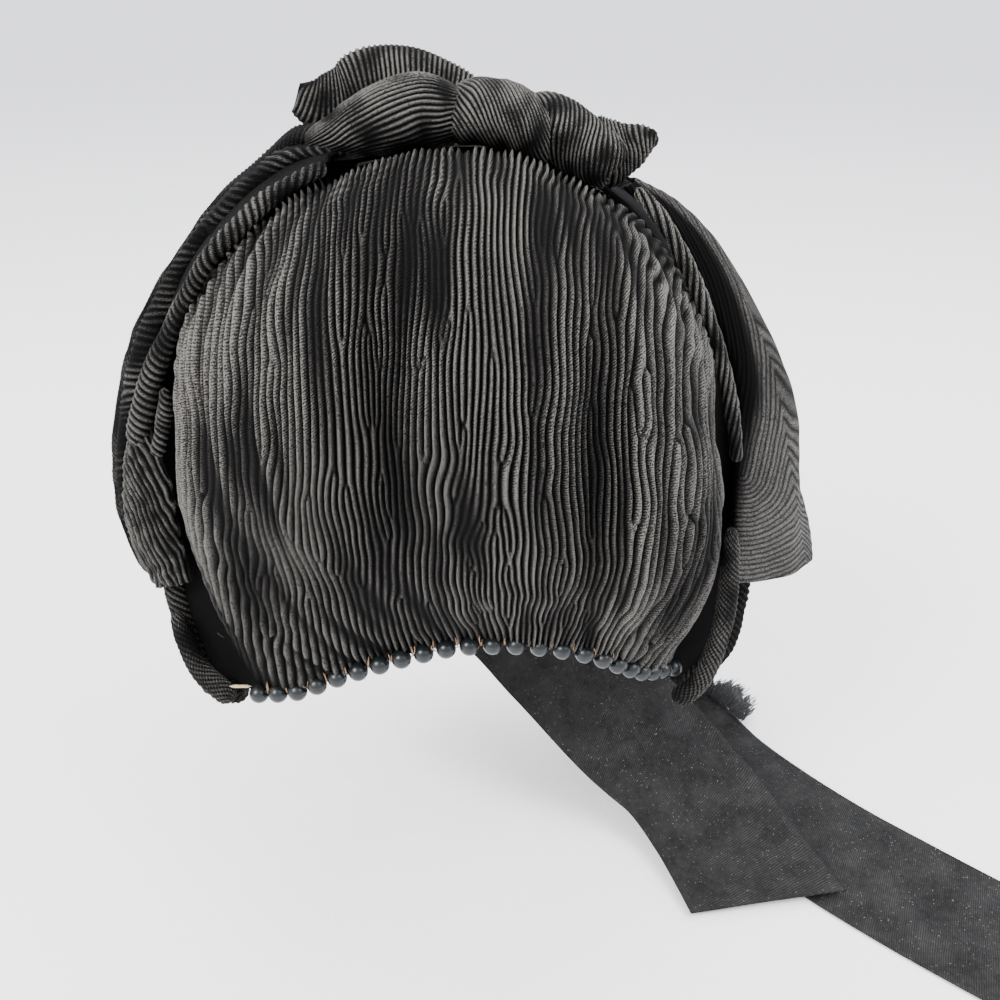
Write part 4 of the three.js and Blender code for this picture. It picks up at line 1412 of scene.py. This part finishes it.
@dataclass
class BowPiece:
    """A puff, knot or tail of the bow: ribbed rings along X, open or wrapped at their ends."""

    name: str
    node: str
    places: Table
    lean: float = 0.0
    cross: float = 0.0
    hollow: bool = True
    pitch: float = 1.45
    height: float = 0.24
    wall: float = 1.6
    stations: int = 230
    sides: int = 96
    seed: int = 1
    crinkle: Crinkle = Crinkle(
        (Wave(1.2, 5, 5), Wave(0.6, 14, 12)), Wave(0.35, 16, 14), Wave(0.4, 4, 4)
    )

    def rings(self, part: Array, shrink: float) -> Array:
        """Returns plain rings at fractions of the length, drawn in by a distance."""
        middle = self.places.points(part)
        ahead, behind = (self.places.points(np.clip(part + step, 0, 1)) for step in (0.01, -0.01))
        along = unit(ahead - behind)
        if not self.hollow:
            along = np.broadcast_to((1.0, 0.0, 0.0), along.shape)
        side = square_to(np.broadcast_to((0.0, 1.0, 0.0), along.shape), along)
        up = np.cross(along, side)
        angle = np.linspace(0, TURN, self.sides + 1)[None, :]
        wide = (self.places.at("wide", part)[:, None] - shrink) * np.cos(angle)
        tall = (self.places.at("tall", part)[:, None] - shrink) * np.sin(angle)
        return beside(middle, side, wide, up, tall)

    def build(self) -> Piece:
        """Makes the piece, its ribs gathered towards the knot."""
        part, length = even_parts(self.places.points, self.stations)
        base = self.rings(part, 0)
        around, down = parts(self.stations, self.sides + 1)
        angle = around * TURN
        gather = self.cross * (angle - 0.08 * np.sin(2 * angle))
        phase = TURN * self.lean * (length * down) / self.pitch + gather
        _, crest, sway = self.crinkle.ribs(phase, 1, self.seed, around, down, wrap=True)
        outer = raised(base, self.height * (2 * crest - 1) + sway, wrap=True)
        outer[:, -1] = outer[:, 0]
        near = self._cap(outer[0])
        if self.hollow:
            inner = self.rings(part, self.wall)[::-4]
            inner = inner[inner.shape[0] // 8:-2]
            far = self._cap(inner[-1])
            points = np.concatenate([near[::-1], outer, inner, far])
        else:
            far = self._cap(outer[-1])
            points = np.concatenate([near[::-1], outer, far])
        extra = points.shape[0] - near.shape[0] - self.stations
        crest = np.pad(crest, ((near.shape[0], extra), (0, 0)), mode="edge")
        points[:, -1] = points[:, 0]
        return Cloth(self.name, points, crest, weave_of(points), wrap=True).add()

    @staticmethod
    def _cap(ring: Array) -> Array:
        """Returns rings that close an end down to its middle."""
        middle = ring[:-1].mean(axis=0)
        shares = np.array([0.93, 0.8, 0.6, 0.35, 0.0])[:, None, None]
        return middle + (ring[None] - middle) * shares


BOW = (
    BowPiece("bow_left_tail_crape", "bow_left_tail", lean=1.0, cross=2,
             seed=51, places=Table("x y z wide tall", (
        (9, 12, 14, 8, 7),
        (-3, 11, 17.5, 9, 10.5),
        (-15, 9, 19.5, 9, 13),
        (-27, 7, 19, 9, 13.2),
        (-36, 5, 16.5, 8, 11),
        (-44, 3, 16.5, 6.5, 8.5),
        (-50.5, 2, 18.5, 4, 4.5),
    ))),
    BowPiece("bow_left_puff_crape", "bow_left_puff", lean=0.16, cross=46, stations=96, sides=276,
             seed=52, places=Table("x y z wide tall", (
        (4, -17, 15, 9, 6.5),
        (-3.5, -18, 15.5, 11, 9.4),
        (-10, -19, 16, 12, 10.6),
        (-18, -20, 15, 12, 10.4),
        (-27, -19, 12.4, 10.5, 8.8),
        (-36, -17, 9, 8, 6.4),
        (-44, -15, 6.5, 4, 3.4),
    ))),
    BowPiece("bow_knot_crape", "bow_knot", lean=1.0, cross=-22, hollow=False,
             seed=53, places=Table("x y z wide tall", (
        (-1.5, -14, 14.5, 13, 6.8),
        (2.5, -14.5, 15.2, 16.5, 8.8),
        (8, -15, 16, 19, 9.7),
        (16, -16, 14.5, 19.5, 9.9),
        (24, -17.5, 11.4, 17.5, 9.3),
        (28, -18, 10, 14, 7.4),
    ))),
    BowPiece("bow_right_puff_crape", "bow_right_puff", lean=1.0, cross=-18, stations=180,
             seed=54, places=Table("x y z wide tall", (
        (19, -14, 12.5, 10, 8),
        (27.5, -15, 12, 11, 9.6),
        (34, -17, 9.5, 12, 10),
        (40, -19, 6.2, 11, 9.4),
        (45, -21, 3, 9, 8.4),
        (49, -22, 0, 6, 5.5),
    ))),
    BowPiece("bow_right_tail_crape", "bow_right_tail", lean=1.0, cross=5, stations=130,
             seed=55, places=Table("x y z wide tall", (
        (38, -6, 3, 6, 9),
        (46, -7, 2.6, 7.5, 11.4),
        (53, -6, 4.2, 7, 8.8),
        (59, -5, 6.4, 5, 5.4),
        (63.5, -4, 7.4, 2.6, 2.4),
    ))),
)


# Beads and their sewing

@dataclass
class Bead:
    """A turned round bead with a bore, threaded along the hem."""

    number: int
    radius: float = 3.35
    bore: float = 0.75
    depth: float = 0.45
    flatness: float = 0.985

    def build(self, along: Array) -> Piece:
        """Makes the bead from a sphere whose poles are sunk into a bore along a direction."""
        centre = bead_centre(self.number)
        bpy.ops.mesh.primitive_uv_sphere_add(segments=28, ring_count=18, radius=self.radius * MM)
        piece = bpy.context.object
        piece.name = piece.data.name = f"bead_turned_{self.number:02d}"
        mesh = piece.data
        spots = np.empty(len(mesh.vertices) * 3, dtype=np.float32)
        mesh.vertices.foreach_get("co", spots)
        spots = spots.reshape(-1, 3).astype(float) / MM
        off_axis = np.hypot(spots[:, 0], spots[:, 1])
        sunk = np.clip(1 - off_axis / (1.5 * self.bore), 0, 1)
        spots[:, 2] *= (1 - self.depth * sunk) * self.flatness
        side = square_to(np.array((0.0, 1.0, 0.0)), along)
        third = np.cross(side, along)
        spots = spots[:, :1] * third + spots[:, 1:2] * side + spots[:, 2:] * along
        mesh.vertices.foreach_set("co", ((spots + centre) * MM).astype(np.float32).ravel())
        mesh.update()
        bpy.ops.object.shade_smooth()
        return piece


def strand(name: str, runs: list[Array], radius: float, sides: int = 5) -> Piece:
    """Makes fine round threads, each along its run of points, as one piece."""
    made = []
    for run in runs:
        size = np.full((len(run), sides + 1), radius)
        size[0] = size[-1] = 0.0
        points = tube(run, (0.31, 0.52, 0.79), size)
        made.append(Cloth(name, points, np.zeros(size.shape), weave_of(points), wrap=True).add())
    select_only(made[0])
    for piece in made:
        piece.select_set(True)
    bpy.ops.object.join()
    made[0].name = made[0].data.name = name
    return made[0]


@dataclass
class BeadRow:
    """The beads along the nape, the thread through them and the stitches that hold them."""

    count: int = 23
    thread: float = 0.2
    splinter: float = 0.55

    def build(self, wardrobe: Wardrobe) -> None:
        """Makes and dresses the beads, their thread and their stitches."""
        centres = np.array([bead_centre(i + 1) for i in range(self.count)])
        along = headings(centres)
        for i in range(self.count):
            bead = Bead(i + 1).build(along[i])
            wardrobe.dress(bead, wardrobe.bead, Stuff.BEAD, f"bead_{i + 1:02d}")
        stitches = strand("bead_stitches", self.stitches(centres), self.thread)
        wardrobe.dress(stitches, wardrobe.brown, Stuff.BEAD)
        run = np.linspace(centres[0] + (-9, -3, 5.4), centres[0] + (-1.5, -2, 4.6), 6)
        splinter = strand("bare_splinter", [run], self.splinter, 6)
        wardrobe.dress(splinter, wardrobe.straw, Stuff.STIFF_CLOTH)

    def stitches(self, centres: Array) -> list[Array]:
        """Returns the thread through the beads and a small loop over each gap."""
        source = np.random.default_rng(61)
        runs = []
        for i in range(len(centres) - 1):
            middle = (centres[i] + centres[i + 1]) / 2
            step = centres[i + 1] - centres[i]
            runs.append(np.linspace(middle - step * 0.12, middle + step * 0.12, 4))
            for _ in range(2):
                lean = source.uniform(-0.9, 0.9)
                t = np.linspace(0, 1, 7)[:, None]
                start = middle + np.array((0, -0.4, 0.6))
                back, high = source.uniform(-1.3, -0.2), source.uniform(3.2, 5.4)
                finish = middle + np.array((lean, back, high))
                bow = np.array((source.uniform(-0.6, 0.6), -1.0, 0.0)) * np.sin(math.pi * t)
                runs.append(start + (finish - start) * t + bow)
        return runs


# Ribbon ties

@dataclass
class Tie:
    """A wide ribbon tie, gathered where it is sewn on and cut straight at its end."""

    name: str
    node: str
    route: Table
    cut_width: float = 62
    pleats: float = 2.5
    slant: float = 0.0
    wall: float = 0.6
    columns: int = 41
    step: float = 2.0
    seed: int = 1
    sway: Wave = Wave(0.35, 2, 9)

    def build(self) -> tuple[Piece, float]:
        """Makes the ribbon, and returns it with its length in millimetres."""
        part, length = spaced(self.route.points, self.step)
        rows = len(part)
        middle = self.route.points(part)
        along = headings(middle)
        wide = square_to(self.route.points(part, "wideX wideY wideZ"), along)
        face = np.cross(wide, along)
        width = self.route.at("width", part)[:, None]
        share, down = parts(rows, self.columns)
        share = share - 0.5
        spare = np.sqrt(np.maximum(self.cut_width / width - 1, 0))
        fold = 1.15 * width / (math.pi * self.pleats) * spare
        sway = Drift(self.seed).over(share + 0.5, down, self.sway)
        lift = fold * np.cos(TURN * self.pleats * share) + sway
        points = beside(middle, wide, share * width, face, lift)
        cut = unit(along * (1, 1, 0)) * self.slant * (np.linspace(0, 1, rows) ** 8)[:, None]
        points = points + cut[:, None] * (share + 0.5)[..., None]
        crest = np.full(points.shape[:2], 0.5)
        run = np.repeat(np.linspace(0, length, rows)[:, None], self.columns, 1)
        weave = np.stack([share * self.cut_width, run], -1)
        return Cloth(self.name, points, crest, weave).add(self.wall), length


TIES = (
    Tie("left_ribbon", "left_tie", slant=14.5,
        seed=71, route=Table("x y z wideX wideY wideZ width", (
        (-79, -44, -146, 0.25, 1, 0, 20),
        (-77, -32, -163, 0.3, 1, 0.1, 26),
        (-72, 2, -178, 0.3, 0.9, 0.3, 44),
        (-54, 40, -187, 0.3, 0.5, 0.8, 58),
        (-22, 62, -193, 0.15, 0.45, 0.85, 62),
        (14, 60, -204, 0.2, 0.5, 0.8, 62),
        (43, 42, -226, 0.4, 0.6, 0.6, 62),
        (70, 22, -249, 0.7, 0.6, 0.3, 62),
        (92, 8, -266, 0.86, 0.5, 0.1, 60),
        (108, -13, -277, 0.95, 0.32, 0.02, 62),
        (121, -45, -282.5, 1, 0.12, 0, 64),
    ))),
    Tie("right_ribbon", "right_tie",
        seed=72, route=Table("x y z wideX wideY wideZ width", (
        (82, -22, -146, -0.15, 1, 0, 22),
        (83.5, -12, -168, 0.2, 1, 0, 24),
        (88, 25, -191, 0.8, 0.5, 0, 36),
        (94, 62, -217, 1, 0.1, 0, 48),
        (97, 76, -250, 1, 0.1, 0, 58),
        (98, 83, -276, 0.98, 0.3, 0, 62),
        (101, 69, -284.2, 0.85, 0.55, 0, 62),
        (114, 37, -284.4, 0.74, 0.67, 0, 62),
        (134, 7, -284.4, 0.74, 0.67, 0, 62),
        (157, -20, -284.4, 0.7, 0.71, 0, 62),
        (181, -43, -284.4, 0.64, 0.77, 0, 62),
        (206, -65, -284.4, 0.6, 0.8, 0, 61),
        (229, -84, -284.4, 0.6, 0.8, 0, 60),
    ))),
)


@dataclass
class FrayedTuft:
    """Loose end threads standing up beside the right tie."""

    x: float = 129.5
    y: float = 71.5
    z: float = -283
    length: float = 26
    heading: float = -62
    threads: int = 420
    tall: float = 11.5

    def build(self) -> Piece:
        """Makes the threads."""
        source = np.random.default_rng(81)
        turn = math.radians(self.heading)
        along = np.array((math.cos(turn), math.sin(turn), 0.0))
        outward = np.array((-along[1], along[0], 0.0))
        start = np.array((self.x, self.y, self.z)) - along * self.length / 2
        runs = []
        for _ in range(self.threads):
            share = source.uniform(0, 1)
            root = start + along * self.length * share + outward * source.uniform(0, 3)
            size = self.tall * source.uniform(0.55, 1.1) * (0.7 + 0.3 * math.sin(math.pi * share))
            lean = source.uniform(-0.45, 0.45)
            t = np.linspace(0, 1, 9)[:, None]
            curl = source.normal(0, 0.55, 3)
            curl = curl * np.sin(source.uniform(4, 9) * t + source.uniform(0, 6)) * t
            up = np.array((0, 0, 1.0)) * size * t * (1 - 0.18 * t) + curl
            away = outward * size * source.uniform(0.5, 1.1) * t**1.4
            runs.append(root + up + away + along * lean * size * 0.5 * t)
        return strand("frayed_threads", runs, 0.2, 4)


# Stage

@dataclass
class Studio:
    """The pale floor, the soft lights and the camera."""

    floor_z: float = -0.2858
    camera_place: Colour = (0.014, -0.337, 0.052)
    camera_pitch: float = 27.6
    lens: float = 36
    sky: Colour = (0.93, 0.94, 1.0)
    sky_strength: float = 2.2
    lit_at: Colour = (0.0, 0.0, -0.12)

    def build(self) -> None:
        """Makes the stage."""
        camera = bpy.data.cameras.new("camera")
        camera.lens = camera.sensor_width = self.lens
        camera.clip_start = 0.01
        holder = bpy.data.objects.new("camera", camera)
        holder.location = self.camera_place
        holder.rotation_euler = (math.radians(90 - self.camera_pitch), 0, 0)
        bpy.context.collection.objects.link(holder)
        bpy.context.scene.camera = holder
        self.floor()
        self.light("window", (-0.9, -0.9, 0.9), 0.7, 44, (1.0, 0.98, 0.95))
        self.light("fill", (1.0, -0.5, 1.1), 0.9, 26, (0.96, 0.98, 1.0))
        self.light("above", (0.1, 0.3, 1.7), 1.4, 34, (1.0, 1.0, 1.0))
        world = bpy.data.worlds.new("studio")
        world.use_nodes = True
        sky = world.node_tree.nodes["Background"].inputs
        sky["Color"].default_value = (*self.sky, 1)
        sky["Strength"].default_value = self.sky_strength
        bpy.context.scene.world = world

    def floor(self) -> None:
        """Makes the floor."""
        bpy.ops.object.select_all(action="DESELECT")
        bpy.ops.mesh.primitive_plane_add(size=90, location=(0, 0, self.floor_z))
        plane = bpy.context.object
        plane.name = "pale_floor"
        bpy.ops.object.transform_apply(location=True, rotation=True, scale=True)
        paint = Paint("pale_floor", 0.9, Base_Color=(0.9, 0.9, 0.9))
        paint.bump(paint.noise(220, 3), 1.0, 0.35)
        plane.data.materials.append(paint.material)

    def light(self, name: str, place: Colour, size: float, power: float, colour: Colour) -> None:
        """Adds a square soft light that faces the bonnet."""
        lamp = bpy.data.lights.new(name, "AREA")
        lamp.size = size
        lamp.energy = power
        lamp.color = colour
        holder = bpy.data.objects.new(name, lamp)
        holder.location = place
        x, y, z = np.array(place) - np.array(self.lit_at)
        holder.rotation_euler = (math.atan2(math.hypot(x, y), z), 0, math.atan2(x, -y))
        bpy.context.collection.objects.link(holder)


def main() -> None:
    """Builds the bonnet in order."""
    logging.basicConfig(level=logging.INFO, format="%(name)s %(message)s")
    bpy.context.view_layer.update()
    Studio().build()
    wardrobe = Wardrobe()
    crown = CrownPanel()
    rim = RimRoll()
    wardrobe.dress(crown.build(), wardrobe.crape, Stuff.CRAPE, "crown_panel")
    wardrobe.dress(crown.lining(), wardrobe.band, Stuff.STIFF_CLOTH)
    wardrobe.dress(CapBand().build(crown, rim), wardrobe.band, Stuff.STIFF_CLOTH, "cap_shell")
    for roll in (rim, *EAR_ROLLS, *TWIST_ROLLS):
        wardrobe.dress(roll.build(), wardrobe.crape, Stuff.CRAPE, roll.node)
    for fold in (*LEFT_FOLDS, LeftLappet(), RightDrape()):
        wardrobe.dress(fold.build(), wardrobe.crape, Stuff.CRAPE, fold.node)
    wardrobe.dress(LeftValley().build(crown), wardrobe.crape, Stuff.CRAPE)
    for piece in BOW:
        wardrobe.dress(piece.build(), wardrobe.crape, Stuff.CRAPE, piece.node)
    BeadRow().build(wardrobe)
    for tie in TIES:
        ribbon, length = tie.build()
        wardrobe.dress(ribbon, wardrobe.ribbon, Stuff.RIBBON, tie.node)
    wardrobe.dress(FrayedTuft().build(), wardrobe.black, Stuff.RIBBON, "frayed_tuft")


if __name__ == "__main__":
    main()
